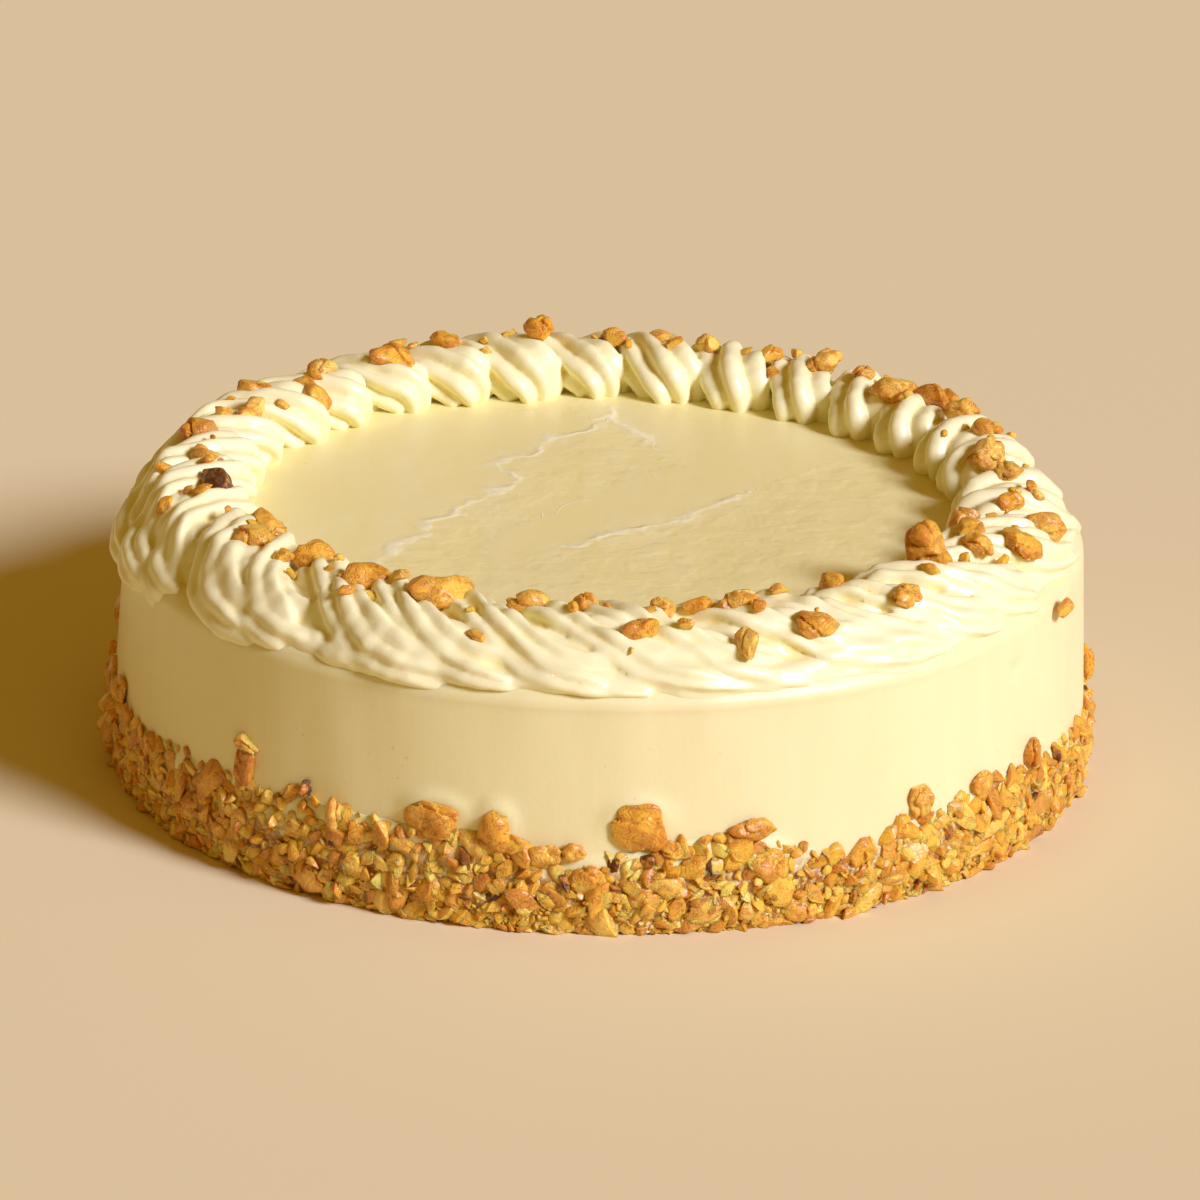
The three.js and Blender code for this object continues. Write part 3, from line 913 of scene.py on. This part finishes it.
def rope_finish(settings):
    finish = Finish(
        "piped_cream",
        Subsurface_Weight=0.2,
        Subsurface_Radius=(1.0, 0.75, 0.3),
        Subsurface_Scale=1.5 * MM,
        Specular_IOR_Level=0.5,
        Coat_Weight=0.2,
        Coat_Roughness=0.25,
    )
    # Painted shade: deep in the grooves the colour goes over, patchily, to the darker crease colour
    deep = finish.attribute("crease")
    patches = finish.noise(12 * MM, 2.0, 0.5)
    shade = (deep.between(0.06, 0.65) * (0.65 + 0.35 * patches)).at_most(1.0)
    finish.set("Base Color", finish.mix(shade, settings.cream, settings.crease))
    finish.set("Roughness", 0.34 + finish.noise(5 * MM, 3.0) * 0.14)
    grain = finish.noise(0.9 * MM, 3.0, 0.6) * 0.4 + finish.noise(2.6 * MM, 2.0) * 0.6
    finish.relief(grain, 0.16 * MM, 0.5)
    return finish.material


def hand_work(points, edges):
    """What the spatula and the cream's own weight did to the loops: their front is smoothed into
    flat overlapping leaves, its lower edge is spread on to the frosting, and a seam is left where
    the rope starts."""
    angle, step, _ = place_on_rim(points)
    front = smeared(angle)
    soft = softened(points, edges, 9)
    softer = softened(soft, edges, 30)
    leaf = front * np.clip((step + 3 * MM) / (8 * MM), 0, 1) * 0.3
    points = points + leaf[:, None] * (soft - points)
    edge = np.clip(1.5 * np.cos(angle - SPREAD_AT), 0, 1) * np.clip((step - 10 * MM) / (3 * MM), 0, 1)
    points = points + 0.45 * edge[:, None] * (softer - points)
    along = turn_from(SEAM_AT, angle) * ROPE_RADIUS
    seam = bell(along, 0, 5 * MM) * np.clip(step / (4 * MM), 0, 1)
    return points + seam[:, None] * (softer - points)


def seat_nuts(points, nodes):
    """The cream rises or gives way so that each walnut piece lies bedded in it."""
    for node in nodes:
        low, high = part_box(node)
        middle = (low + high) / 2
        reach = ((high.x - low.x) + (high.y - low.y)) / 4
        apart = np.hypot(points[:, 0] - middle.x, points[:, 1] - middle.y)
        under = (apart < 0.6 * reach) & (points[:, 2] > CAKE_TOP + 3 * MM)
        if not under.any():
            continue
        surface = np.percentile(points[under, 2], 80)
        wanted = low.z + 0.3 * (high.z - low.z)
        lift = max(-1.5 * MM, min(3 * MM, wanted - surface))
        above = np.clip((points[:, 2] - CAKE_TOP) / (6 * MM), 0, 1)
        points[:, 2] += lift * bell(apart, 0, 0.95 * reach) * above
    return points


def joined_rope(settings, finish):
    """The loops, the core and the streaks in one mesh that sags over the shoulder."""
    loops = [
        loop_mesh(settings, kind, LOOP_SEED * (count + 1) + k)
        for count, kind in enumerate(LOOP_KINDS)
        for k in range(VARIANTS_EACH)
    ]
    choices = variants("loop", loops)
    seat = bpy.data.meshes.new("seat")
    piped = rope_tree().applied_to(seat, Loops=settings.loops, Variants=choices, Material=finish)
    clear_variants(choices)
    whole = bmesh.new()
    whole.from_mesh(piped)
    whole.from_mesh(plain_mesh("rope_core", *rope_core()))
    for count, streak in enumerate(STREAKS):
        points, faces = tube(streak_points(streak, STREAK_SEED + count))
        whole.from_mesh(plain_mesh("streak", points, faces))
    bmesh.ops.recalc_face_normals(whole, faces=whole.faces)
    joined = mesh_of(whole, "rope")
    set_points(joined, sagged(get_points(joined)))
    return joined


def roughness(points):
    """How far the cream's skin stands out: fine grain, and more where it was dragged or torn."""
    angle, step, _ = place_on_rim(points)
    unrolled = np.stack((step, angle * ROPE_RADIUS * 0.2, points[:, 2]), -1)
    torn = bell(angle, TORN_AT, 0.35)
    grain = 0.12 * MM * waves(points, 3.2 * MM, 9)
    dragged = 0.45 * MM * smeared(angle) * waves(unrolled, 3.2 * MM, 10)
    return grain + (dragged + 0.16 * MM * torn * waves(points, 2.8 * MM, 11))


class CAKE_OT_rope(bpy.types.Operator):
    """Pipe the rope of cream round the rim"""

    bl_idname = "cake.rope"
    bl_label = "Piped rope"

    def execute(self, context):
        settings = context.scene.carrot_cake.rope
        finish = rope_finish(settings)
        voxel = settings.voxel * 1
        joined = joined_rope(settings, finish)
        rope = modified(joined, "REMESH", mode="VOXEL", voxel_size=voxel, adaptivity=0)
        keep_largest_part(rope)
        edges = edges_of(rope)
        points = hand_work(softened(get_points(rope), edges, 2), edges)
        set_points(rope, points)
        points = points + normals_of(rope) * roughness(points)[:, None]
        points = seat_nuts(points, WALNUT_NODES[:-1])
        set_points(rope, points)
        # How deep each point lies in a groove, kept for the shade painted into the grooves
        broad = softened(points, edges, 24)
        hollow = ((broad - points) * normals_of(rope)).sum(1) / (1.1 * MM)
        store(rope, "crease", np.clip(hollow, 0, 1))
        rope.shade_smooth()
        count = sum(len(face.vertices) - 2 for face in rope.polygons)
        rope = modified(rope, "DECIMATE", ratio=min(1, ROPE_TRIANGLES / count))
        settled("rope_of_cream", rope, finish, "piped_cream", "piped_rope")
        return {"FINISHED"}


# Walnuts

SHARP = math.radians(33)
PIECE_SEED = 300


def walnut_finish(name, settings):
    """Walnut: pale and waxy where it was cut, tan skin with dark veins and edges. The tint moves one
    piece's shade from fresh and yellow over golden to brown."""
    finish = Finish(
        name,
        Subsurface_Weight=0.6,
        Subsurface_Radius=(1.0, 0.5, 0.12),
        Subsurface_Scale=2.5 * MM,
        Specular_IOR_Level=0.4,
        Coat_Weight=0.14,
        Coat_Roughness=0.25,
    )
    cut = finish.attribute("cut")
    edge = finish.attribute("edge")
    tint = finish.attribute("tint")
    mottle = finish.noise(2.4 * MM, 3.0, 0.6)
    vein = abs(finish.noise(2.6 * MM, 2.0, 0.6, 0.9) - 0.5).between(0.04, 0.0)
    golden = finish.mix(tint.between(0.05, 0.5), settings.pale, settings.flesh)
    golden = finish.mix(tint.between(0.6, 1.0), golden, settings.skin)
    flesh = finish.mix(mottle.between(0.45, 0.75) * 0.3, golden, settings.pale)
    skin = finish.mix(mottle.between(0.3, 0.65), settings.skin, golden)
    skin = finish.mix(vein * (0.3 + 0.4 * tint), skin, settings.vein)
    base = finish.mix(cut * 0.75 + 0.2, skin, flesh)
    base = finish.mix((edge * (0.55 + 0.7 * mottle)).at_most(1.0), base, settings.amber)
    base = finish.mix(tint.between(0.94, 0.96) * mottle.between(0.4, 0.52), base, settings.vein)
    finish.set("Base Color", base)
    finish.set("Roughness", 0.3 + mottle * 0.2)
    finish.relief(mottle * 0.6 + finish.noise(0.6 * MM, 2.0) * 0.3 - vein * 0.5, 0.45 * MM, 0.8)
    return finish.material


def ball(level):
    """Points and faces of a ball of radius 1."""
    shell = bmesh.new()
    bmesh.ops.create_icosphere(shell, subdivisions=level, radius=1)
    points = np.array([v.co for v in shell.verts])
    faces = [tuple(v.index for v in face.verts) for face in shell.faces]
    shell.free()
    return points, faces


def chopped(points, draw, cuts, deepest):
    """Points of a lump about 1 long after flat knife cuts, and which of them lie on a cut."""
    on_cut = np.zeros(len(points))
    for _ in range(cuts):
        way = draw.normal(size=3)
        way /= np.linalg.norm(way)
        reach = points @ way
        over = np.maximum(0, reach - reach.max() * draw.uniform(1 - deepest, 0.96))
        points = points - over[:, None] * way
        if draw.uniform() < 0.6:
            on_cut = np.maximum(on_cut, over > 0.004)
    return points, on_cut


def gnarled(points, draw, strength):
    """Points of a lump about 1 long with the lobes and furrows of a walnut kernel."""
    seed = int(draw.integers(1, 10_000))
    lobes = waves(points, 0.42, seed)
    furrows = np.clip(1 - np.abs(waves(points, 0.55, seed + 1, 8)) / 0.3, 0, 1) ** 1.5
    size = 1 + strength * (0.13 * lobes - 0.2 * furrows) + 0.03 * waves(points, 0.15, seed + 2)
    return points * size[:, None]


def boxed(points):
    """The points moved and stretched into a box of size 1 round the origin."""
    low, high = points.min(0), points.max(0)
    return (points - (high + low) / 2) / (high - low)


def nut_mesh(points, faces, cut, tint=None):
    """A mesh with the attributes that the walnut's finish reads."""
    mesh = plain_mesh("nut", points, faces)
    mesh.shade_smooth()
    mesh.set_sharp_from_angle(angle=SHARP)
    broad = softened(points, edges_of(mesh), 2 if len(points) < 200 else 5)
    ridge = ((points - broad) * normals_of(mesh)).sum(1)
    soft, sharp = np.percentile(ridge, (62, 97))
    store(mesh, "edge", np.clip((ridge - soft) / (sharp - soft), 0, 1))
    store(mesh, "cut", np.clip(cut, 0, 1))
    if tint is not None:
        store(mesh, "tint", np.full(len(points), tint))
    return mesh


def lumpy(form, seed, tint):
    """A chopped walnut piece in the form of a faceted solid: rays from its middle meet the facets,
    then it gets furrows and fresh cuts, and is brought back to the solid's size."""
    tree = tree_of(form)
    corners = get_points(form)
    low, high = corners.min(0), corners.max(0)
    middle, size = (low + high) / 2, (high - low).max()
    ways, faces = ball(5 if size > 12 * MM else 4)
    draw = np.random.default_rng(seed)
    points = []
    for way in ways:
        spot, _, _, _ = tree.ray_cast(Vector(middle + way * size * 2), -Vector(way))
        points.append(spot if spot else Vector(middle))
    points = (np.array(points) - middle) / size
    points = softened(points, edges_of(plain_mesh("shell", points, faces)), 2)
    points = gnarled(points, draw, 1.5)
    points, cut = chopped(points, draw, 7, 0.3)
    return nut_mesh(boxed(points) * (high - low) + middle, faces, cut, tint)


def merged(mesh):
    """A copy of a CAD node's loose triangles with its corners joined."""
    whole = bmesh.new()
    whole.from_mesh(mesh)
    bmesh.ops.remove_doubles(whole, verts=whole.verts, dist=0.01 * MM)
    return mesh_of(whole, "form")


# Pieces whose shade stands out, from 0 for fresh and yellow to 1 for dark brown skin
SHADES = {
    "walnut_01": 0.1,
    "walnut_02": 0.0,
    "walnut_05": 0.84,
    "walnut_08": 0.2,
    "walnut_13": 0.6,
    "walnut_20": 0.8,
    "walnut_22": 0.97,
    "walnut_25": 0.5,
    "walnut_27": 0.35,
    "walnut_33": 0.02,
    "walnut_38": 0.4,
    "walnut_40": 0.45,
    "walnut_44": 0.5,
    "walnut_on_side": 0.25,
}


class CAKE_OT_walnut_pieces(bpy.types.Operator):
    """Lay the big walnut pieces on the rope"""

    bl_idname = "cake.walnut_pieces"
    bl_label = "Walnut pieces"

    def execute(self, context):
        finish = walnut_finish("walnut_piece", context.scene.carrot_cake.walnut)
        draw = np.random.default_rng(17)
        for count, name in enumerate(WALNUT_NODES):
            tint = SHADES.get(name, draw.uniform(0.05, 0.6))
            mesh = lumpy(merged(frame["nodes"][name].data), PIECE_SEED + 5 * count, tint)
            settled("nut_" + name.removeprefix("walnut_"), mesh, finish, "walnut_piece", name)
        return {"FINISHED"}


# Bits on the rope, strewn by the same rule as the solid's

SMALL_PIECES = 24
FRAGMENTS = 170
BIT_SEED = 900
OVER_CAKE = 100 * MM
STEEPEST = 0.3  # upward part of the cream's normal where a bit can still lie


def fraction(n):
    """A repeatable random number from 0 to 1 for each whole number, the same as the solid's."""
    value = math.sin(n * 12.9898 + 4.1414) * 43758.5453
    return value - math.floor(value)


def between(n, low, high):
    return low + (high - low) * fraction(n)


class CAKE_OT_rope_bits(bpy.types.Operator):
    """Press the smaller walnut bits and crumbs into the rope"""

    bl_idname = "cake.rope_bits"
    bl_label = "Bits on the rope"

    def execute(self, context):
        tree = tree_of(bpy.data.objects["rope_of_cream"].data)
        taken = []
        for name in WALNUT_NODES:
            low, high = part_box(name)
            taken.append(((low + high) / 2, (high - low).length / 4))
        wanted = []
        for k in range(SMALL_PIECES):
            degrees = 360 / SMALL_PIECES * (k + between(k + 900, -0.35, 0.35))
            wanted.append((degrees, between(k + 940, -9, 10) * MM, between(k + 980, 4.5, 6.5) * MM))
        draw = np.random.default_rng(23)
        for _ in range(FRAGMENTS):
            near = taken[draw.integers(len(taken))][0]
            degrees = math.degrees(math.atan2(near.y, near.x)) + draw.normal(0, 4)
            step = math.hypot(near.x, near.y) - ROPE_RADIUS + draw.normal(0, 5) * MM
            wanted.append((degrees, step, draw.uniform(1.6, 5.5) * MM))
        whole = bmesh.new()
        tints = []
        for count, (degrees, step, size) in enumerate(wanted):
            radius, angle = ROPE_RADIUS + step, math.radians(degrees)
            above = Vector((radius * math.cos(angle), radius * math.sin(angle), OVER_CAKE))
            spot, normal, _, _ = tree.ray_cast(above, Vector((0, 0, -1)))
            crowded = any((above.xy - middle.xy).length < reach + size / 2 for middle, reach in taken)
            if spot is None or crowded or normal.z < STEEPEST:
                continue
            chip = chip_mesh(BIT_SEED + count, 3 if size > 3 * MM else 2, 0.5)
            spin = Matrix.Rotation(draw.uniform(0, 6.3), 3, "Z")
            turned = normal.to_track_quat("Z", "X").to_matrix() @ spin
            chip.transform(Matrix.Translation(spot + normal * 0.12 * size) @ (turned * size).to_4x4())
            tints += [draw.uniform(0.1, 0.8)] * len(chip.vertices)
            taken.append((spot, size / 2))
            whole.from_mesh(chip)
        mesh = mesh_of(whole, "rope_bits")
        mesh.shade_smooth()
        mesh.set_sharp_from_angle(angle=SHARP)
        store(mesh, "tint", tints)
        finish = walnut_finish("walnut_bits", context.scene.carrot_cake.walnut)
        settled("rope_bits", mesh, finish, "piped_cream", "piped_rope")
        return {"FINISHED"}


# The nut band

# Height of the nuts' uneven upper edge round the cake: (angle in degrees, height in millimetres)
BAND_TOP = (
    (0, 23), (14, 25), (28, 21), (44, 24), (60, 26), (76, 21), (94, 24), (112, 22), (128, 26),
    (146, 22), (162, 24), (178, 21), (192, 25), (204, 23), (217, 27), (223, 25), (231, 27),
    (246, 26), (254, 25), (260, 25), (267, 19), (273, 23), (284, 27), (294, 22), (300, 17), (307, 22),
    (320, 25), (339, 23), (352, 21), (360, 23),
)
LOOSE_EDGE = 2 * MM
BED_ROWS = 24
BED_STEPS = 480
CHIP_SEED = 40
LOOSE_CHIPS = 0.08  # share of the chips that are left over the band's edge
CHUNK_SEED = 700
CHUNK_DEPTH = 4.5


def band_top(turns):
    """Height of the nut band's bed at angles round the cake, its chips standing a little over it."""
    degrees, heights = np.array(BAND_TOP, float).T
    turns = np.degrees(turns) % 360
    after = np.clip(np.searchsorted(degrees, turns, side="right"), 1, len(degrees) - 1)
    part = (turns - degrees[after - 1]) / (degrees[after] - degrees[after - 1])
    part = part**2 * (3 - 2 * part)
    return (heights[after - 1] + part * (heights[after] - heights[after - 1])) * MM - LOOSE_EDGE


def band_bed():
    """The bed that the chips are pressed into: a closed ring of nutty cream round the foot. The first
    faces are its outer side."""
    turns = np.linspace(0, 2 * math.pi, BED_STEPS, endpoint=False)
    top = band_top(turns)
    rings = []
    for row in range(BED_ROWS):
        up = row / (BED_ROWS - 1)
        proud = 1.2 * MM * (1 - up**6) - 0.3 * MM * (row == 0)
        rings.append((side_radius(top * up) + outline(turns) + proud, top * up))
    for z in (top, 0 * top):
        rings.append((side_radius(z) + outline(turns) - 1.5 * MM, z))
    points = np.concatenate([around(radius, turns, height) for radius, height in rings])
    faces = ring_faces(len(rings), BED_STEPS, closed=True)
    ring = points[:, :2] / np.hypot(points[:, 0], points[:, 1])[:, None]
    outer = np.arange(len(points)) < BED_ROWS * BED_STEPS
    rough = outer * np.clip((np.tile(top, len(rings)) - points[:, 2]) / (6 * MM), 0, 1)
    points[:, :2] += ring * (rough * 0.4 * MM * waves(points, 2.5 * MM, 12))[:, None]
    points[:, 2] = np.maximum(points[:, 2], 0)
    return points, faces


def bed_finish(settings, cream):
    finish = Finish(
        "nut_bed",
        Roughness=0.42,
        Subsurface_Weight=0.35,
        Subsurface_Scale=2 * MM,
        Coat_Weight=0.1,
    )
    crumb = finish.noise(1.6 * MM, 3.0, 0.65)
    low = finish.axis("Z").between(20 * MM, 12 * MM)
    # Low on the bed, crumbs in amber darkened to 0.6: partly the nut crumbs' own colour, partly painted
    # shade in the gaps between the chips
    base = finish.mix(crumb.between(0.34, 0.52) * low, cream, dimmed(settings.amber, 0.6))
    patch = finish.noise(6 * MM, 2.0).between(0.45, 0.75)
    finish.set("Base Color", finish.mix(patch * low * 0.5, base, settings.skin))
    finish.relief(crumb * (0.15 + 0.85 * low), 0.8 * MM, 0.9)
    return finish.material


def chip_mesh(seed, level, flatness):
    """One chopped chip 1 unit long."""
    draw = np.random.default_rng(seed)
    points, faces = ball(level)
    points = gnarled(points * 0.5, draw, 0.9)
    points, cut = chopped(points, draw, 12, 0.6)
    points = boxed(points) * (1, draw.uniform(0.5, 0.85), flatness * draw.uniform(0.8, 1.25))
    return nut_mesh(points, faces, cut)


def scatter_tree(count):
    """Chips strewn over a surface between two heights: points spread by a least distance, each with
    a chip laid on it."""
    group = NodeGroup(
        "strewn_chips",
        Density=("Float", 1000.0),
        Apart=("Float", 0.003),
        Thin_from=("Float", 0.02),
        Thin_to=("Float", 0.03),
        Smallest=("Float", 0.003),
        Largest=("Float", 0.006),
        Tilt=("Float", 0.5),
        Palest=("Float", 0.0),
        Darkest=("Float", 1.0),
        Variants=("Collection", None),
        Seed=("Int", 7),
        Material=("Material", None),
    )
    take = group.inputs
    place = group.add("GeometryNodeInputPosition").outputs[0]
    height = group.add("ShaderNodeSeparateXYZ", None, {0: place}).outputs["Z"]
    sockets = {
        "Value": height,
        "From Min": take["Thin from"],
        "From Max": take["Thin to"],
        "To Min": 1.0,
        "To Max": LOOSE_CHIPS,
    }
    thinning = group.add("ShaderNodeMapRange", None, sockets).outputs[0]
    spread = group.add(
        "GeometryNodeDistributePointsOnFaces",
        {"distribute_method": "POISSON"},
        {
            "Mesh": take["Geometry"],
            "Distance Min": take["Apart"],
            "Density Max": take["Density"],
            "Density Factor": thinning,
            "Seed": take["Seed"],
        },
    )
    low = group.maths("MULTIPLY", take["Tilt"], -1.0)
    sockets = {
        "X": group.random(low, take["Tilt"], 31),
        "Y": group.random(low, take["Tilt"], 32),
        "Z": group.random(-math.pi, math.pi, take["Seed"]),
    }
    turned = group.add("ShaderNodeCombineXYZ", None, sockets).outputs[0]
    laid = group.add(
        "FunctionNodeRotateRotation",
        {"rotation_space": "LOCAL"},
        {"Rotation": spread.outputs["Rotation"], "Rotate By": turned},
    )
    placed = group.add(
        "GeometryNodeInstanceOnPoints",
        None,
        {
            "Points": spread.outputs["Points"],
            "Instance": group.children(take["Variants"]),
            "Pick Instance": True,
            "Instance Index": group.random(0, count - 1, 33, "INT"),
            "Rotation": laid.outputs[0],
            "Scale": group.random(take["Smallest"], take["Largest"], 34),
        },
    )
    tint = group.random(take["Palest"], take["Darkest"], 35)
    sockets = {"Geometry": placed.outputs[0], "Name": "tint", "Value": tint}
    settings = {"domain": "INSTANCE", "data_type": "FLOAT"}
    marked = group.add("GeometryNodeStoreNamedAttribute", settings, sockets)
    group.finish(marked.outputs[0], take["Material"])
    return group


class ChipKind(NamedTuple):
    """One size of chip in the band. Distances, heights and sizes are in millimetres."""

    name: str
    setting: str  # the one that says how many
    apart: float
    sizes: tuple
    thins: tuple  # heights between which the chips grow fewer
    level: int  # how finely their faces are split
    shapes: int
    flatness: float
    tilt: float
    tints: tuple


CHIP_KINDS = (
    ChipKind("big_chips", "big", 5.5, (7, 11), (30, 40), 3, 16, 0.36, 0.35, (0.1, 0.9)),
    ChipKind("medium_chips", "medium", 2.0, (3.2, 6.8), (26, 36), 2, 20, 0.42, 0.8, (0.05, 0.99)),
    ChipKind("nut_crumbs", "crumbs", 0.7, (1.1, 2.6), (5, 12), 1, 8, 0.6, 0.9, (0.0, 0.6)),
)


class Chunk(NamedTuple):
    """A chunk that stands out of the band, in millimetres."""

    angle: float  # degrees round the cake
    height: float
    width: float
    tallness: float
    tint: float


CHUNKS = (
    Chunk(227, 28, 7, 10, 0.85), Chunk(227, 33.5, 8, 5, 0.1), Chunk(240, 22, 6, 12, 0.05),
    Chunk(248, 8, 6, 12, 0.8), Chunk(252, 26.5, 14, 9.5, 0.4), Chunk(259, 24.5, 8, 12, 0.6),
    Chunk(265, 20, 9, 6, 0.3), Chunk(270, 14, 11, 8, 0.5), Chunk(275, 27, 13.5, 12, 0.5),
    Chunk(268, 21, 6, 5, 0.2), Chunk(279, 22, 6, 5, 0.4), Chunk(276, 10, 9, 8, 0.1),
    Chunk(288, 26, 12, 6, 0.75), Chunk(290, 16, 11, 9, 0.35), Chunk(307, 20, 6, 6, 0.6),
    Chunk(305, 10, 7, 6, 0.7), Chunk(310, 25, 7, 8, 0.2), Chunk(320, 23.5, 7, 8, 0.3),
    Chunk(331, 25, 6, 8, 0.75), Chunk(357, 28, 4, 10, 0.5), Chunk(12, 26, 9, 7, 0.3),
    Chunk(38, 24, 10, 8, 0.6), Chunk(66, 27, 11, 8, 0.4), Chunk(92, 25, 9, 7, 0.2),
    Chunk(121, 27, 11, 8, 0.7), Chunk(149, 24, 9, 8, 0.3), Chunk(173, 27, 10, 8, 0.5),
    Chunk(196, 25, 9, 7, 0.4), Chunk(236, 27.5, 2.5, 4.5, 0.97), Chunk(262, 6, 4, 4, 0.97),
)


def chunk_mesh(seed, chunk):
    """A chunk that lies flat against the side of the cake."""
    draw = np.random.default_rng(seed)
    points, faces = ball(4)
    points, cut = chopped(gnarled(points * 0.5, draw, 1.5), draw, 7, 0.35)
    points /= np.ptp(points, axis=0)
    mesh = nut_mesh(points, faces, cut, chunk.tint)
    points *= np.array((CHUNK_DEPTH, chunk.width, chunk.tallness)) * MM
    turn = math.radians(chunk.angle)
    radius = side_radius(chunk.height * MM) + outline(turn) + 0.9 * MM
    points += (radius, 0, chunk.height * MM)
    set_points(mesh, around(points[:, 0], points[:, 1] / radius + turn, points[:, 2]))
    return mesh


def strewn(kind, skin, density, seed, finish):
    """Chips of one kind strewn over the bed's outer side, none of them under the base."""
    level = kind.level
    chips = [chip_mesh(CHIP_SEED + 7 * k + level, level, kind.flatness) for k in range(kind.shapes)]
    choices = variants(kind.name, chips)
    mesh = scatter_tree(kind.shapes).applied_to(
        skin.copy(),
        Density=density,
        Apart=kind.apart * MM,
        Thin_from=kind.thins[0] * MM,
        Thin_to=kind.thins[1] * MM,
        Smallest=kind.sizes[0] * MM,
        Largest=kind.sizes[1] * MM,
        Tilt=kind.tilt,
        Palest=kind.tints[0],
        Darkest=kind.tints[1],
        Variants=choices,
        Seed=seed + level,
        Material=finish,
    )
    clear_variants(choices)
    points = get_points(mesh)
    points[:, 2] = np.maximum(points[:, 2], 0.05 * MM)
    set_points(mesh, points)
    return mesh


class CAKE_OT_walnut_band(bpy.types.Operator):
    """Press the chopped walnuts into the foot of the side"""

    bl_idname = "cake.walnut_band"
    bl_label = "Walnut band"

    def execute(self, context):
        cake = context.scene.carrot_cake
        finish = walnut_finish("chopped_walnut", cake.walnut)
        points, faces = band_bed()
        cream = bed_finish(cake.walnut, cake.frosting.side)
        piece_from("nut_bed", points, faces, cream, "chopped_walnut", "walnut_band")
        skin = plain_mesh("bed_skin", points, faces[: (BED_ROWS - 1) * BED_STEPS])
        area = sum(face.area for face in skin.polygons)
        for kind in CHIP_KINDS:
            density = 1.6 * getattr(cake.band, kind.setting) / area
            mesh = strewn(kind, skin, density, cake.band.seed, finish)
            settled(kind.name, mesh, finish, "chopped_walnut", "walnut_band")
        whole = bmesh.new()
        for count, chunk in enumerate(CHUNKS):
            whole.from_mesh(chunk_mesh(CHUNK_SEED + count, chunk))
        mesh = mesh_of(whole, "chunks")
        settled("walnut_chunks", mesh, finish, "chopped_walnut", "walnut_band")
        return {"FINISHED"}


# The stage

CAMERA_LENS = 195
CAMERA_ELEVATION = math.radians(20.75)
CAMERA_DISTANCE = 1.758
CAMERA_TARGET = Vector((0.0001, 0.1025, 0))
CAMERA_ROLL = math.radians(1.58)
KEY_TURN = math.radians(-36)
KEY_ELEVATION = math.radians(33)
KEY_SPREAD = math.radians(18)
FLOOR_HALF = 6.0


def plain_finish(name, shade):
    finish = Finish(name, Roughness=0.9, Specular_IOR_Level=0.2)
    clouds = finish.noise(0.4, 2.0) * 0.06
    finish.set("Base Color", finish.mix(clouds, shade, dimmed(shade, 0.9)))
    return finish.material


def soft_key(settings):
    """A far soft light from the front right."""
    light = bpy.data.lights.new("key", "SUN")
    light.energy = settings.strength
    light.angle = KEY_SPREAD
    light.color = settings.key[:3]
    lamp = bpy.data.objects.new("key", light)
    towards = Vector((-math.cos(KEY_TURN), -math.sin(KEY_TURN), -math.tan(KEY_ELEVATION)))
    lamp.rotation_euler = towards.to_track_quat("-Z", "Y").to_euler()
    bpy.context.scene.collection.objects.link(lamp)


class CAKE_OT_stage(bpy.types.Operator):
    """Set the floor, the lights and the camera"""

    bl_idname = "cake.stage"
    bl_label = "Stage"

    def execute(self, context):
        settings = context.scene.carrot_cake.stage
        ways = ((-1, -1, 0), (1, -1, 0), (1, 1, 0), (-1, 1, 0))
        floor = plain_mesh("floor", np.array(ways) * FLOOR_HALF, [(0, 1, 2, 3)])
        floor.materials.append(plain_finish("plain_floor", settings.floor))
        plain = bpy.data.objects.new("floor", floor)
        context.scene.collection.objects.link(plain)
        soft_key(settings)
        world = bpy.data.worlds.new("room")
        context.scene.world = world
        world.use_nodes = True
        room = world.node_tree.nodes["Background"].inputs
        room["Color"].default_value = settings.room
        context.scene.view_settings.view_transform = "Standard"
        camera = bpy.data.cameras.new("camera")
        camera.lens = CAMERA_LENS
        camera.sensor_width = 36
        ahead = Vector((0, math.cos(CAMERA_ELEVATION), -math.sin(CAMERA_ELEVATION)))
        right = Vector((1, 0, 0))
        turned = Matrix((right, right.cross(ahead), -ahead)).transposed().to_4x4()
        viewer = bpy.data.objects.new("camera", camera)
        viewer.matrix_world = (
            Matrix.Translation(CAMERA_TARGET - CAMERA_DISTANCE * ahead)
            @ turned
            @ Matrix.Rotation(CAMERA_ROLL, 4, "Z")
        )
        context.scene.collection.objects.link(viewer)
        context.scene.camera = viewer
        return {"FINISHED"}


class CAKE_PT_panel(bpy.types.Panel):
    """Buttons for each piece of the cake"""

    bl_idname = "CAKE_PT_panel"
    bl_label = "Carrot cake"
    bl_space_type = "VIEW_3D"
    bl_region_type = "UI"
    bl_category = "Cake"

    def draw(self, context):
        for operator in OPERATORS:
            self.layout.operator(operator.bl_idname)
        for group in ("frosting", "rope", "walnut", "band", "stage"):
            settings = getattr(context.scene.carrot_cake, group)
            for name in settings.__annotations__:
                self.layout.prop(settings, name)


OPERATORS = (
    CAKE_OT_stage,
    CAKE_OT_frosting,
    CAKE_OT_rope,
    CAKE_OT_rope_bits,
    CAKE_OT_walnut_band,
    CAKE_OT_walnut_pieces,
)
CLASSES = (
    FrostingSettings,
    RopeSettings,
    WalnutSettings,
    BandSettings,
    StageSettings,
    CakeSettings,
    *OPERATORS,
    CAKE_PT_panel,
)


def register():
    for one in CLASSES:
        bpy.utils.register_class(one)
    bpy.types.Scene.carrot_cake = bpy.props.PointerProperty(type=CakeSettings)


def unregister():
    del bpy.types.Scene.carrot_cake
    for one in reversed(CLASSES):
        bpy.utils.unregister_class(one)


def main():
    register()
    for operator in OPERATORS:
        family, name = operator.bl_idname.split(".")
        getattr(getattr(bpy.ops, family), name)()


if __name__ == "__main__":
    main()
